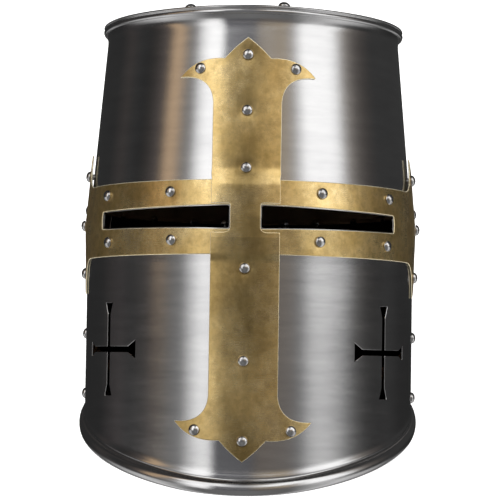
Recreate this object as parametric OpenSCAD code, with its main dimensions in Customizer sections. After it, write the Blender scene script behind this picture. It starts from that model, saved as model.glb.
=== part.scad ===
// Crusader great helm: riveted steel plates, flat crown and a brass cross with sights.
// The plates are worked out in the helm's own upright frame, and stand() sets it on its rim.
// Azimuth (az) is the direction a wall faces: 0 is the front (-Y), 90 the wearer's left (+X).

/* [Shell] */
// Width over the lower plates at the ears
shell_w = 221; // [205:1:240]
// Length over the lower plates, front to back
shell_l = 256; // [240:1:280]
// Radius of the arcs at the front and the back of the plan
brow_r = 86; // [78:1:94]
// Height of the crown's edge over the middle of the rim
crown_z = 268.5; // [255:0.5:285]
// Height of the middle of the sights and of the crossbar
sight_z = 133; // [125:1:140]
// Tilt of the rim's plane, lower at the front
rake = 18; // [12:0.5:20]
// Inward taper of the upper plates
taper = 5; // [3:0.25:7]
// Thickness of the steel plates
steel_t = 1.2; // [1:0.1:1.6]
// Gap between sheets that lie on each other
lap_gap = 0.1; // [0.05:0.01:0.2]
// How far the waist stands out from the lower wall
waist_out = 0.7; // [0.3:0.1:1.5]
// Height over which the lower wall swells out to the waist
waist_rise = 28; // [20:1:34]

/* [Lip and crown] */
// How far the rolled lip stands out at the rim
lip_out = 3.6; // [2:0.1:6]
// Height of the rolled lip
lip_h = 9; // [6:0.5:14]
// Height of the crown plate's turned-down edge
skirt_h = 5.5; // [4:0.25:8]
// How far the crown's edge stands out from the wall
rim_out = 3; // [2:0.1:4.5]
// Rise of the crown from its edge to the rivet ring
dome_rise = 5; // [2:0.25:8]
// Width of the flange under the crown plate
flange_w = 38; // [34:1:44]
// Distance from the crown's edge to its rivet ring
crown_inset = 32; // [26:1:34]
// Number of rivets in the crown
crown_rivet_count = 8; // [6:1:12]

/* [Brass cross] */
// Thickness of the brass
brass_t = 1.1; // [0.8:0.1:1.5]
// Width of the crossbar
bar_w = 47.5; // [44:0.5:54]
// Width of the upright
upright_w = 44; // [40:0.5:50]
// Height of the upright's tip over the sights
upright_up = 115; // [105:1:118]
// Depth of the upright's lower tip under the sights
upright_down = 154; // [146:1:158]
// How far the crossbar's tips reach behind the widest line
bar_tip = 4.5; // [0:0.5:6]
// Inward taper of the crossbar's upper horns
horn_taper = 4.25; // [2:0.25:5]

/* [Sights and breaths] */
// Half of the nose strip between the sights
nose_half = 9.7; // [8:0.1:14]
// Reach of the sights from the middle
sight_reach = 96; // [88:1:98]
// Height of a sight at its inner end
sight_h_in = 15.5; // [12:0.5:17]
// Height of a sight at its outer end
sight_h_out = 11.6; // [8:0.2:13]
// How far the steel shows inside the brass at the sights
sight_step = 0.7; // [0.3:0.1:1.2]
// Direction of the breath crosses
breath_az = 57.5; // [50:0.5:62]
// Height of the middle of the breath crosses
breath_z = 49; // [44:1:56]
// Span of a breath cross
breath_span = 60; // [50:1:64]
// Width of a breath cross's arm at its neck
breath_neck = 3.5; // [2:0.25:5]
// Share of a breath cross's arm that is straight
breath_straight = 0.76; // [0.6:0.02:0.85]
// Width of a breath cross's flared end
breath_flare = 9; // [7:0.2:12]
// Width of the flared end that points to the front
breath_front_flare = 11.6; // [7:0.2:13]

/* [Rivets] */
// Radius of a rivet's head
head_r = 3.7; // [3:0.1:4.2]
// Height of a rivet's head
head_h = 2.7; // [2:0.1:3.2]
// Radius of a rivet's shank
shank_r = 1.9; // [1.5:0.05:2.2]
// Radial clearance of the rivet holes
hole_gap = 0.1; // [0.05:0.01:0.2]
// Gap between a head and the sheet that it holds
seat_gap = 0.12; // [0.1:0.01:0.2]
// Radius of a clenched end
clench_r = 3.1; // [2.6:0.1:3.4]
// Thickness of a clenched end
clench_h = 1.2; // [0.8:0.1:1.6]

/* [Liner and chin strap] */
// Thickness of the liner's leather
leather_t = 2.2; // [1.8:0.1:2.8]
// Height of the liner band
band_h = 28; // [24:1:36]
// Number of tongues in the liner
tongue_count = 8; // [6:1:9]
// Radius of the lace
lace_r = 1.5; // [1:0.1:1.8]
// Width of the chin strap
strap_w = 20; // [16:1:24]
// Depth of the buckled strap's hanging loop
strap_drop = 42; // [36:1:44]
// Gap between the strap and the wall at its rivets
strap_gap = 0.9; // [0.8:0.05:0.98]
// Radius of the buckle's wire
buckle_r = 1.5; // [1.2:0.1:1.8]
// Inside length of the buckle, along the strap
buckle_l = 17; // [15:1:22]

/* [Hidden] */
$fn = 48;

// Plan of the helm: four arcs that meet tangentially
half_w = shell_w / 2;
half_l = shell_l / 2;
brow_c = half_l - brow_r;
ear_r = (brow_c * brow_c + half_w * half_w - brow_r * brow_r) / (2 * (half_w - brow_r));
ear_c = ear_r - half_w;
turn_az = atan2(ear_c, brow_c);
step_az = 3;
ring_azs = [for (i = [1:360 / step_az]) i * step_az - 180];

// Each lap shifts the inner sheet by one plate and its gap
lap = steel_t + lap_gap;
lap_up = 21;
lap_down = 21;
lap_top = sight_z + lap_up;
lap_bottom = sight_z - lap_down;
swell_z = sight_z - waist_rise;

// Crown levels
flange_z = crown_z - steel_t - lap_gap;
wall_top = crown_z - skirt_h - 4;
crown_off = wall_off(wall_top) + rim_out;
fold_off = crown_off - steel_t - lap_gap;
flange_rise = dome_rise / crown_inset;
crown_first = 15;

// Crossbar and upright levels
bar_top = sight_z + bar_w / 2;
bar_bottom = sight_z - bar_w / 2;
joggle = 2.8;
edge_gap = 0.6;
upright_tip_z = sight_z + upright_up;
upright_low_z = sight_z - upright_down;

// Seams between the front and rear plates
seam_half = 3;
seam_rivet_az_lower = 90;
seam_rivet_az_upper = 106.8;
seam_az_lower = seam_rivet_az_lower + seam_half;
seam_az_upper = seam_rivet_az_upper + seam_half;
seam_open = 0.2;
joggle_az = 0.9;
step_in_az = 0.04;
tab_relief = 2;

// Finial outline at an upright width of 44.4, from its tip
finial_ref_w = 44.4;
notch = [15, 13.6];
horn_bow = [34, 12];
horn_tip = [44, 25.5];
throat_bow = [23.5, 24.5];
throat_end = 42;
tip_rivet_d = 11.2;
horn_rivet = [30.6, 20];

// Rivet places: [azimuth, height]
upright_upper_zs = [upright_tip_z - tip_rivet_d, sight_z + 68, sight_z + 31.3];
upright_lower_zs = [sight_z - 32.3, sight_z - 90.6, upright_low_z + 13.3];
bar_upper_places = [for (az = [-59, -32.3, 32.3, 59]) [az, sight_z + 16.2]];
bar_lower_places = [for (az = [-57.5, -31.5, 31.5, 57.5]) [az, sight_z - 14.5]];
strap_z = 60;
seam_low_z = 19.5;
upper_seam_zs = [for (f = [0.2, 0.5, 0.8]) lap_top + f * (wall_top - lap_top) + 3];
rear_waist_z = sight_z + 11;
rear_waist_azs = [90.5, 116, 132, 148, 164, 180, -164, -148, -132, -116, -90.5];

// Liner levels
band_off_gap = 0.1;
tongue_gap = 0.15;
bow_allowance = 0.7;
skive_az = [101, 113];
band_bottom = sight_z + 10;
band_top = band_bottom + band_h;

// Chin strap, hanging from the two rivets in the side seams
pivot_y = wall_xy(seam_rivet_az_lower, 0)[1];
pivot_off = -2 * steel_t - lap_gap - strap_gap;
strap_a = half_w + pivot_off - leather_t / 2 - 0.2;
bar_x = buckle_l / 2 + buckle_r;
strap_steps = 30;
strap_straight = 9;

// Rolled lip from the rim up, as shares of its reach and its height
lip_roll = [[0.75, 0], [1, 0.28], [0.9, 0.6], [0.42, 0.88], [0, 1.1]];

// Standing frame: the rim's plane is the floor, the box's middle is the origin
front_y = -(half_l + lip_out) / cos(rake) + lip_roll[1][1] * lip_h * sin(rake);
rear_y = (half_l + crown_off) * cos(rake) + (crown_z - skirt_h / 2) * sin(rake);
stand_shift = -(front_y + rear_y) / 2;

function stand_y(y, z) = y * cos(rake) + z * sin(rake) + stand_shift;
function stand_z(y, z) = z * cos(rake) - y * sin(rake);

// Point of the plan that faces az, moved outwards by off
function wall_xy(az, off) =
  let (a = abs(az) > 180 ? 360 - abs(az) : abs(az), m = a > 90 ? 180 - a : a)
  let (p = m < turn_az
    ? [(brow_r + off) * sin(m), brow_c + (brow_r + off) * cos(m)]
    : [(ear_r + off) * sin(m) - ear_c, (ear_r + off) * cos(m)])
  [p[0] * sign(az) * (abs(az) > 180 ? -1 : 1), p[1] * (a > 90 ? 1 : -1)];

// Azimuth that the plan faces where direction d from the middle meets it
function facing(d, off) =
  let (a = abs(d), m = a > 90 ? 180 - a : a, re = ear_r + off, rb = brow_r + off)
  let (se = sqrt(re * re - ear_c * ear_c * cos(m) * cos(m)) - ear_c * sin(m))
  let (sb = brow_c * cos(m) + sqrt(max(0, rb * rb - brow_c * brow_c * sin(m) * sin(m))))
  let (fe = atan2(se * sin(m) + ear_c, se * cos(m)), fb = atan2(sb * sin(m), sb * cos(m) - brow_c))
  let (f = fe < turn_az ? fb : fe) sign(d) * (a > 90 ? 180 - f : f);

// Outside of the lower plates, which lap over the upper ones, at height z
function lap_off(z) =
  z < swell_z ? 0
  : z < sight_z ? waist_out * (z - swell_z) / waist_rise
  : waist_out - (z - sight_z) * tan(taper);

// Outside of the upper plates
function wall_off(z) = lap_off(z) - lap;

// A wall point: [off, z], or [off, h, 1] where h counts from the tilted rim
function wall_point(az, p) =
  let (xy = wall_xy(az, p[0]))
  [xy[0], xy[1], len(p) > 2 ? xy[1] * tan(rake) + p[1] : p[1]];

function shifted(profile, d) = [for (p = profile) len(p) > 2 ? [p[0] + d[0], p[1], 1] : p + d];

// Azimuths from a to b in steps of about step_az
function az_steps(a, b) = let (n = ceil((b - a) / step_az)) [for (i = [0:n]) a + (b - a) * i / n];

function side_faces(n, m, wrap_az, wrap_profile) = [
  for (i = [0:n - (wrap_az ? 1 : 2)]) for (j = [0:m - (wrap_profile ? 1 : 2)])
    let (a = i * m + j, b = (i + 1) % n * m + j)
    let (c = (i + 1) % n * m + (j + 1) % m, d = i * m + (j + 1) % m)
    each [[a, d, c], [a, c, b]]
];

// Sheet swept round the plan, with one profile loop for each azimuth
module sheet(azs, profiles) {
  n = len(azs);
  m = len(profiles[0]);
  points = [for (i = [0:n - 1]) for (p = profiles[i]) wall_point(azs[i], p)];
  start = [[for (j = [m - 1:-1:0]) j]];
  end = [[for (j = [0:m - 1]) (n - 1) * m + j]];
  polyhedron(points, concat(side_faces(n, m, false, true), start, end), convexity = 6);
}

module even_sheet(a, b, profile) {
  azs = az_steps(a, b);
  sheet(azs, [for (az = azs) profile]);
}

// Rear sheet from seam to seam, with joggled tabs that lie inside the front sheet
module joggled_sheet(seam_az, profile, steps, tab_profile) {
  full_az = seam_az + seam_open + joggle_az;
  tab = az_steps(seam_az - 2 * seam_half, seam_az + seam_open);
  m = len(steps);
  near = concat(tab, [for (i = [0:m - 1]) full_az - (m - i) * step_in_az]);
  near_profiles = concat([for (az = tab) tab_profile], steps);
  last = len(near) - 1;
  rear = az_steps(full_az, 360 - full_az);
  sheet(concat(near, rear, [for (i = [last:-1:0]) 360 - near[i]]),
    concat(near_profiles, [for (az = rear) profile], [for (i = [last:-1:0]) near_profiles[i]]));
}

// Puts a piece on the wall at az and z: +Z points out of the wall, tilted up by lean
module on_wall(az, z, off, lean = 0) {
  xy = wall_xy(az, off);
  translate([xy[0], xy[1], z])
    rotate([0, 0, az])
      rotate([90 - lean, 0, 0]) children();
}

module stand() {
  translate([0, stand_shift, 0]) rotate([-rake, 0, 0]) children();
}

module rivet(grip) {
  ball_r = (head_r * head_r + head_h * head_h) / (2 * head_h);
  translate([0, 0, seat_gap]) intersection() {
    translate([0, 0, head_h - ball_r]) sphere(ball_r);
    cylinder(h = head_h + 1, r = head_r);
  }
  translate([0, 0, -grip - seat_gap - 0.1]) cylinder(h = grip + 2 * seat_gap + 0.2, r = shank_r);
  translate([0, 0, -grip - seat_gap - clench_h]) cylinder(h = clench_h, r = clench_r);
}

module punch() {
  reach = 12;
  translate([0, 0, -reach]) cylinder(h = 2 * reach, r = shank_r + hole_gap);
}

// Outlines

function bow(a, b, c, n) = [for (i = [1:n]) let (t = i / n)
  (1 - t) * (1 - t) * a + 2 * t * (1 - t) * b + t * t * c];

// Half of a finial, from its tip at the origin down to the shaft
function finial_half(k) = concat(
  [[0, 0], notch * k],
  bow(notch * k, horn_bow * k, horn_tip * k, 7),
  bow(horn_tip * k, throat_bow * k, [finial_ref_w / 2, throat_end] * k, 7));

function mirrored(points) = [for (i = [len(points) - 1:-1:0]) [-points[i][0], points[i][1]]];

module upright_outline() {
  k = upright_w / finial_ref_w;
  half = finial_half(k);
  top = [for (p = half) [p[0], upright_tip_z - p[1]]];
  low = [for (i = [len(half) - 1:-1:0]) [half[i][0], upright_low_z + half[i][1]]];
  right = concat(top, low);
  polygon(concat(right, mirrored(right)));
}

// Crossbar seen from the side: x is the helm's Y, y is its height
module crossbar_outline() {
  k = bar_w / finial_ref_w;
  half = finial_half(k);
  upper = [for (p = half) [bar_tip - p[1], sight_z + p[0]]];
  lower = [for (i = [len(half) - 1:-1:0]) [bar_tip - half[i][1], sight_z - half[i][0]]];
  front = -half_l - 20;
  polygon(concat(upper, [[front, bar_top], [front, bar_bottom]], lower));
}

module sight_outline(inset) {
  polygon([
    [nose_half + inset, sight_z - sight_h_in / 2 + inset],
    [sight_reach - inset, sight_z - sight_h_out / 2 + inset],
    [sight_reach - inset, sight_z + sight_h_out / 2 - inset],
    [nose_half + inset, sight_z + sight_h_in / 2 - inset]]);
}

module sights(inset) {
  for (side = [0, 1]) mirror([side, 0, 0])
    translate([0, -20, 0]) rotate([90, 0, 0]) linear_extrude(half_l) sight_outline(inset);
}

// Breath cross whose arm at the turn front points to the front of the helm
module breath_outline(front) {
  arm = breath_span / 2;
  neck = breath_neck / 2;
  straight = arm * breath_straight;
  for (a = [0, 90, 180, 270]) {
    end = (a == front ? breath_front_flare : breath_flare) / 2;
    rotate(a) polygon([
      [-neck, -neck], [neck, -neck], [neck, straight], [end, arm], [-end, arm], [-neck, straight]]);
  }
}

module breaths() {
  reach = 12;
  for (side = [-1, 1])
    on_wall(side * breath_az, breath_z, 0)
      translate([0, 0, -reach]) linear_extrude(2 * reach) breath_outline(180 - side * 90);
}

// Rivet places

module at_upright_above(z) {
  on_wall(0, z, wall_off(z) + lap_gap + brass_t, taper) children();
}

module at_upright_upper() {
  for (z = upright_upper_zs) at_upright_above(z) children();
}

module at_upright_lower() {
  for (z = upright_lower_zs) on_wall(0, z, lap_off(z) + lap_gap + brass_t) children();
}

function horn_az(off) = asin(horn_rivet[0] * upright_w / finial_ref_w / (brow_r + off));

module at_horns_upper() {
  z = upright_tip_z - horn_rivet[1] * upright_w / finial_ref_w;
  off = wall_off(z) + lap_gap + brass_t;
  for (s = [-1, 1]) on_wall(s * horn_az(off), z, off, taper) children();
}

module at_horns_lower() {
  z = upright_low_z + horn_rivet[1] * upright_w / finial_ref_w;
  off = lap_gap + brass_t;
  for (s = [-1, 1]) on_wall(s * horn_az(off), z, off) children();
}

module at_bar(places) {
  for (p = places) on_wall(p[0], p[1], lap_off(p[1]) + lap_gap + brass_t,
    p[1] > sight_z ? taper : -atan(waist_out / waist_rise)) children();
}

function side_az(back) = 90 + asin((bar_tip - back * bar_w / finial_ref_w) / (ear_r + brass_t));

module at_side_finial(side) {
  dz = horn_rivet[0] * bar_w / finial_ref_w;
  upper = sight_z + dz;
  lower = sight_z - dz;
  on_wall(side * side_az(horn_rivet[1]), upper, bar_off(upper) + brass_t, horn_taper) children(0);
  on_wall(side * side_az(horn_rivet[1]), lower, bar_off(lower) + brass_t) children(1);
  on_wall(side * side_az(tip_rivet_d), sight_z, bar_off(sight_z) + brass_t) children(2);
}

module at_seam_upper(side) {
  for (z = upper_seam_zs) on_wall(side * seam_rivet_az_upper, z, wall_off(z), taper) children();
}

module at_seam_lower(side, z) {
  on_wall(side * seam_rivet_az_lower, z, 0) children();
}

module at_rear_waist(from_az, to_az) {
  for (az = rear_waist_azs) if (abs(az) > from_az && abs(az) <= to_az)
    on_wall(az, rear_waist_z, lap_off(rear_waist_z), taper) children();
}

// The crown's rivets stand at even angles round the middle, seen from above
module at_crown() {
  off = crown_off - crown_inset;
  for (i = [0:crown_rivet_count - 1]) {
    d = crown_first + i * 360 / crown_rivet_count;
    on_wall(facing(d > 180 ? d - 360 : d, off), crown_z + flange_rise * crown_inset, off,
      90 - atan(flange_rise)) children();
  }
}

// Steel plates

// Inner face of the upper plates from the flange down, moved inwards and down by d
function upper_inside(d) = let (top = wall_off(wall_top) - d) [
  [fold_off - flange_w, flange_z + flange_rise * flange_w - d],
  [top + 0.4, flange_z - d],
  [top, wall_top],
  [wall_off(sight_z) - d, sight_z],
  [wall_off(lap_bottom) - d, lap_bottom]
];

function upper_profile() = concat([
  [wall_off(lap_bottom), lap_bottom],
  [wall_off(sight_z), sight_z],
  [wall_off(wall_top), wall_top],
  [wall_off(wall_top) + 0.5, wall_top + 3],
  [fold_off - 0.3, flange_z - 1.4],
  [fold_off, flange_z],
  [fold_off - flange_w, flange_z + flange_rise * flange_w]
], upper_inside(steel_t));

// Tab of the upper rear plate, which lies against the inner face of the front one
function upper_tab_profile() =
  let (face = upper_inside(lap), corner = face[1], wall = face[2])
  concat([face[4], face[3], wall, wall * 0.7 + corner * 0.3, wall * 0.35 + corner * 0.65,
    corner, face[0]], upper_inside(lap + steel_t));

// Lower plate from its lip up to the last of three levels: swell, middle and top edge
function lower_profile(levels) = [
  for (r = lip_roll) [lip_out * r[0], lip_h * r[1], 1],
  for (z = levels) [lap_off(z), z],
  for (i = [2:-1:0]) [lap_off(levels[i]) - steel_t, levels[i]],
  for (i = [len(lip_roll) - 1:-1:0]) let (r = lip_roll[i])
    [lip_out * r[0] - steel_t, lip_h * r[1], 1]
];

module crown_plate() {
  color("silver") difference() {
    azs = ring_azs;
    deep = crown_inset + 16;
    flat = crown_inset + 7;
    under = flange_z + lap_gap;
    profile = [
      [crown_off - deep, under + flange_rise * crown_inset + 1],
      [crown_off - flat, under + flange_rise * flat],
      [fold_off, under],
      [fold_off + lap_gap, under - 0.3],
      [fold_off + lap_gap, crown_z - skirt_h],
      [crown_off, crown_z - skirt_h],
      [crown_off, crown_z - 1.2],
      [crown_off - 0.5, crown_z - 0.3],
      [crown_off - 1.6, crown_z],
      [crown_off - flat, crown_z + flange_rise * flat - 0.1],
      [crown_off - deep, crown_z + flange_rise * crown_inset + 1]
    ];
    m = len(profile);
    n = len(azs);
    points = [for (az = azs) for (p = profile) wall_point(az, p)];
    bottom = [[for (i = [0:n - 1]) i * m]];
    top = [[for (i = [n - 1:-1:0]) i * m + m - 1]];
    polyhedron(points, concat(side_faces(n, m, true, false), bottom, top), convexity = 4);
    at_crown() punch();
  }
}

module upper_front_plate() {
  color("lightsteelblue") difference() {
    even_sheet(-seam_az_upper, seam_az_upper, upper_profile());
    sights(sight_step);
    at_upright_upper() punch();
    at_horns_upper() punch();
    at_bar(bar_upper_places) punch();
    at_bar(bar_lower_places) punch();
    for (side = [-1, 1]) {
      at_side_finial(side) { punch(); union() {} punch(); }
      at_seam_upper(side) punch();
    }
    at_rear_waist(90, seam_az_upper) punch();
    at_crown() punch();
  }
}

module upper_rear_plate() {
  color("lightsteelblue") difference() {
    joggled_sheet(seam_az_upper, upper_profile(), [upper_profile()], upper_tab_profile());
    for (side = [-1, 1]) at_seam_upper(side) punch();
    at_rear_waist(seam_az_upper, 180) punch();
    at_crown() punch();
  }
}

module lower_front_plate() {
  color("lightslategray") difference() {
    even_sheet(-seam_az_lower, seam_az_lower, lower_profile([swell_z, sight_z, lap_top]));
    sights(sight_step);
    breaths();
    at_upright_lower() punch();
    at_horns_lower() punch();
    at_bar(bar_upper_places) punch();
    at_bar(bar_lower_places) punch();
    at_rear_waist(90, seam_az_lower) punch();
    for (side = [-1, 1]) {
      at_side_finial(side) { union() {} punch(); punch(); }
      for (z = [strap_z, seam_low_z]) at_seam_lower(side, z) punch();
    }
  }
}

// The tabs stop under the waist, where the upper plate passes
module lower_rear_plate() {
  tab_top = lap_bottom - tab_relief;
  tab = lower_profile([min(swell_z, tab_top - 4), tab_top - 2, tab_top]);
  color("lightslategray") difference() {
    joggled_sheet(seam_az_lower, lower_profile([swell_z, sight_z, lap_top]),
      [tab, lower_profile([swell_z, sight_z - 0.2, sight_z])], shifted(tab, [-lap, 0]));
    for (side = [-1, 1]) for (z = [strap_z, seam_low_z]) at_seam_lower(side, z) punch();
    at_rear_waist(seam_az_lower, 180) punch();
  }
}

// Brass cross

function bar_off(z) = lap_gap + (z > bar_top
  ? lap_off(bar_top) - (z - bar_top) * tan(horn_taper) : lap_off(z));

module crossbar() {
  reach = horn_tip[0] * bar_w / finial_ref_w + 4;
  zs = [sight_z - reach, swell_z, sight_z, bar_top, sight_z + reach];
  outer = [for (z = zs) [bar_off(z) + brass_t, z]];
  inner = [for (i = [len(zs) - 1:-1:0]) [bar_off(zs[i]), zs[i]]];
  far = shell_w;
  color("goldenrod") difference() {
    intersection() {
      even_sheet(-95, 95, concat(outer, inner));
      translate([-far, 0, 0]) rotate([90, 0, 90]) linear_extrude(2 * far) crossbar_outline();
    }
    sights(0);
    at_bar(bar_upper_places) punch();
    at_bar(bar_lower_places) punch();
    for (side = [-1, 1]) at_side_finial(side) { punch(); punch(); punch(); }
  }
}

module cross_upright() {
  over_bar = lap_gap + brass_t + lap_gap;
  steps = [
    [upright_low_z - 2, lap_gap],
    [bar_bottom - edge_gap - joggle, lap_off(bar_bottom - edge_gap - joggle) + lap_gap],
    [bar_bottom - edge_gap, lap_off(bar_bottom) + over_bar],
    [sight_z, waist_out + over_bar],
    [bar_top + edge_gap, lap_off(bar_top) + over_bar],
    [bar_top + edge_gap + joggle, wall_off(bar_top + edge_gap + joggle) + lap_gap],
    [upright_tip_z + 2, wall_off(upright_tip_z + 2) + lap_gap]
  ];
  outer = [for (s = steps) [s[1] + brass_t, s[0]]];
  inner = [for (i = [len(steps) - 1:-1:0]) [steps[i][1], steps[i][0]]];
  color("gold") difference() {
    intersection() {
      even_sheet(-40, 40, concat(outer, inner));
      rotate([90, 0, 0]) linear_extrude(shell_l) upright_outline();
    }
    sights(0);
    at_upright_upper() punch();
    at_upright_lower() punch();
    at_horns_upper() punch();
    at_horns_lower() punch();
  }
}

// Rivets

// Lengths between head and clenched end, with slack for the facets of the sheets
facet_slack = 0.05;
grip_brass_steel = brass_t + lap + facet_slack;
grip_bar = brass_t + 2 * lap + 2 * facet_slack;
grip_liner = band_off_gap + leather_t;
grip_seam = 2 * steel_t + lap_gap;
grip_crown = grip_seam + 7 * facet_slack;

module crown_rivets() {
  color("gainsboro") at_crown() rivet(grip_crown);
}

module upright_rivets() {
  color("gainsboro") {
    for (z = upright_upper_zs)
      at_upright_above(z) rivet(grip_brass_steel + (z < band_top + clench_r ? grip_liner : 0));
    at_upright_lower() rivet(grip_brass_steel);
  }
}

module upright_finial_rivets() {
  color("gainsboro") {
    at_horns_upper() rivet(grip_brass_steel);
    at_horns_lower() rivet(grip_brass_steel);
  }
}

module crossbar_upper_rivets() {
  color("gainsboro") at_bar(bar_upper_places) rivet(grip_bar + grip_liner);
}

module crossbar_lower_rivets() {
  color("gainsboro") at_bar(bar_lower_places) rivet(grip_bar);
}

module side_finial_rivets(side) {
  upper = sight_z + horn_rivet[0] * bar_w / finial_ref_w;
  reach = bar_off(upper) + brass_t - wall_off(upper) + steel_t;
  color("gainsboro") at_side_finial(side) {
    rivet(reach + grip_liner + leather_t + tongue_gap + bow_allowance);
    rivet(grip_brass_steel);
    rivet(grip_bar + clench_r * tan(taper));
  }
}

module side_finial_rivets_left() { side_finial_rivets(1); }

module side_finial_rivets_right() { side_finial_rivets(-1); }

module upper_seam_rivets_left() {
  color("gainsboro") at_seam_upper(1) rivet(grip_seam + 2 * facet_slack);
}

module upper_seam_rivets_right() {
  color("gainsboro") at_seam_upper(-1) rivet(grip_seam + 2 * facet_slack);
}

module lower_seam_rivets() {
  color("gainsboro") for (side = [-1, 1])
    at_seam_lower(side, seam_low_z) rivet(grip_seam + 4 * facet_slack);
}

module rear_waist_rivets() {
  color("gainsboro") at_rear_waist(90, 180) rivet(2 * lap + grip_liner + 2 * facet_slack);
}

washer_t = 1;
washer_r = 5.5;
washer_gap = 0.5;
strap_grip = grip_seam + strap_gap + leather_t + washer_gap + washer_t;

module strap_rivet_left() {
  color("gainsboro") at_seam_lower(1, strap_z) rivet(strap_grip);
}

module strap_rivet_right() {
  color("gainsboro") at_seam_lower(-1, strap_z) rivet(strap_grip);
}

module strap_washers() {
  color("gray") for (side = [-1, 1]) at_seam_lower(side, strap_z)
    translate([0, 0, -strap_grip]) difference() {
      cylinder(h = washer_t, r = washer_r);
      translate([0, 0, -1]) cylinder(h = washer_t + 2, r = shank_r + hole_gap);
    }
}

// Liner

function liner_off(z) = wall_off(z) - steel_t - band_off_gap;

// The band is skived on its outside where it crosses the tabs of the upper seams
module liner_band() {
  azs = ring_azs;
  n = len(azs);
  points = [for (az = azs) let (skive = abs(az) > skive_az[0] && abs(az) < skive_az[1] ? lap : 0)
    for (p = [
      [liner_off(band_bottom) - skive, band_bottom],
      [liner_off(band_top) - skive, band_top],
      [liner_off(band_top) - leather_t, band_top],
      [liner_off(band_bottom) - leather_t, band_bottom]
    ]) wall_point(az, p)];
  color("sienna") difference() {
    polyhedron(points, side_faces(n, 4, true, true), convexity = 4);
    at_upright_upper() punch();
    at_bar(bar_upper_places) punch();
    for (side = [-1, 1]) at_side_finial(side) { punch(); union() {} union() {} }
    at_rear_waist(90, 180) punch();
  }
}

// Tongue rows: share of the plan, height above the band's foot, lean of the leather
tongue_rows = [[1, 17, 0], [1, 27, 4], [0.95, 46, 20], [0.84, 65, 40], [0.66, 80, 58],
  [0.46, 88, 78], [0.31, 90, 88]];
tongue_span = 0.86;
tongue_taper = 0.28;
hole_turn = 60;
lace_share = 0.38;
lace_hole_gap = 1.6;
gather_h = tongue_rows[len(tongue_rows) - 1][1] - 0.7;

function tongue_point(az, row, inner) =
  let (z = band_bottom + row[1], off = liner_off(z < band_top ? z : band_top) - leather_t - tongue_gap)
  let (t = inner ? leather_t : 0, xy = wall_xy(az, off - t * cos(row[2])) * row[0])
  [xy[0], xy[1], z - t * sin(row[2])];

module liner_tongue(mid) {
  cols = 5;
  half = 180 / tongue_count * tongue_span;
  rows = len(tongue_rows);
  m = 2 * rows;
  points = [for (i = [0:cols - 1]) let (f = 2 * i / (cols - 1) - 1) for (j = [0:m - 1])
    let (r = j < rows ? j : m - 1 - j, row = tongue_rows[r])
    tongue_point(mid + f * half * (1 - tongue_taper * r / (rows - 1)), row, j >= rows)];
  last = (cols - 1) * m;
  caps = [for (j = [0:rows - 2]) let (a = [j, j + 1, m - 2 - j, m - 1 - j], b = [for (k = a) k + last])
    each [[a[0], a[2], a[1]], [a[0], a[3], a[2]], [b[0], b[1], b[2]], [b[0], b[2], b[3]]]];
  polyhedron(points, concat(side_faces(cols, m, false, true), caps), convexity = 4);
}

function tongue_az(i) = -180 + (i + 0.5) * 360 / tongue_count;

module liner_tongues() {
  holes_z = band_bottom + gather_h - 9.3;
  spread = hole_turn / tongue_count;
  color("peru") for (i = [0:tongue_count - 1]) difference() {
    liner_tongue(tongue_az(i));
    for (side = [-1, 1]) at_side_finial(side) { punch(); union() {} union() {} }
    for (s = [-1, 1]) {
      xy = wall_xy(tongue_az(i) + s * spread, lace_off) * lace_share;
      translate([xy[0], xy[1], holes_z]) cylinder(h = 20, r = lace_r + lace_hole_gap);
    }
  }
}

lace_off = liner_off(band_top) - leather_t;
lace_mid = band_bottom + gather_h - leather_t / 2;
lace_wave = leather_t / 2 + lace_r + 0.8;
lace_cols = 12 * tongue_count;

// Lace over each tongue and under each gap, through two holes a tongue
function lace_at(i) =
  let (az = -180 + 360 * i / lace_cols, xy = wall_xy(az, lace_off) * lace_share)
  let (wave = -cos(az * tongue_count + 180 * tongue_count) - cos(hole_turn))
  [xy[0], xy[1], lace_mid + lace_wave * max(-1, min(1, 3 * wave))];

function unit(v) = v / norm(v);

module liner_lace() {
  sides = 6;
  points = [for (i = [0:lace_cols - 1])
    let (p = lace_at(i), t = unit(lace_at(i + 1) - lace_at(i - 1)))
    let (side = unit(cross(t, [0, 0, 1])), up = cross(side, t))
    for (k = [0:sides - 1]) p + lace_r * (cos(60 * k) * side + sin(60 * k) * up)];
  color("tan") polyhedron(points, side_faces(lace_cols, sides, true, true), convexity = 8);
}

// Chin strap: buckled in a loop that hangs in the upright plane through its two rivets

function strap_z_at(x) =
  -strap_straight - (strap_drop - strap_straight) * sqrt(max(0, 1 - x * x / (strap_a * strap_a)));

// Centre line as [x, z] from the end at x0 to x1, lifted by a table of [x, lift]
function strap_path(x0, x1, lifts) = [for (i = [0:strap_steps])
  let (a0 = acos(x0 / strap_a), a1 = acos(x1 / strap_a), a = a0 + (a1 - a0) * i / strap_steps)
  let (x = strap_a * cos(a)) [x, strap_z_at(x) + lookup(x, lifts)]];

function path_normal(path, i) =
  let (a = path[max(0, i - 1)], b = path[min(len(path) - 1, i + 1)], d = unit(b - a))
  [-d[1], d[0]];

function ribbon(path, t) = concat(
  [for (i = [0:len(path) - 1]) path[i] + path_normal(path, i) * t / 2],
  [for (i = [len(path) - 1:-1:0]) path[i] - path_normal(path, i) * t / 2]);

module at_strap() {
  translate([0, stand_y(pivot_y, strap_z), stand_z(pivot_y, strap_z)]) children();
}

module strap_band(path) {
  translate([0, strap_w / 2, 0]) rotate([90, 0, 0]) linear_extrude(strap_w)
    polygon(ribbon(path, leather_t));
}

// Upper end of a strap: straight down from a rounded tab at its rivet
module strap_end(side) {
  translate([side * strap_a - leather_t / 2, 0, 0]) {
    straight = strap_straight + 0.3;
    rotate([0, 90, 0]) cylinder(h = leather_t, r = strap_w / 2);
    translate([0, -strap_w / 2, -straight]) cube([leather_t, strap_w, straight]);
  }
}

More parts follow.
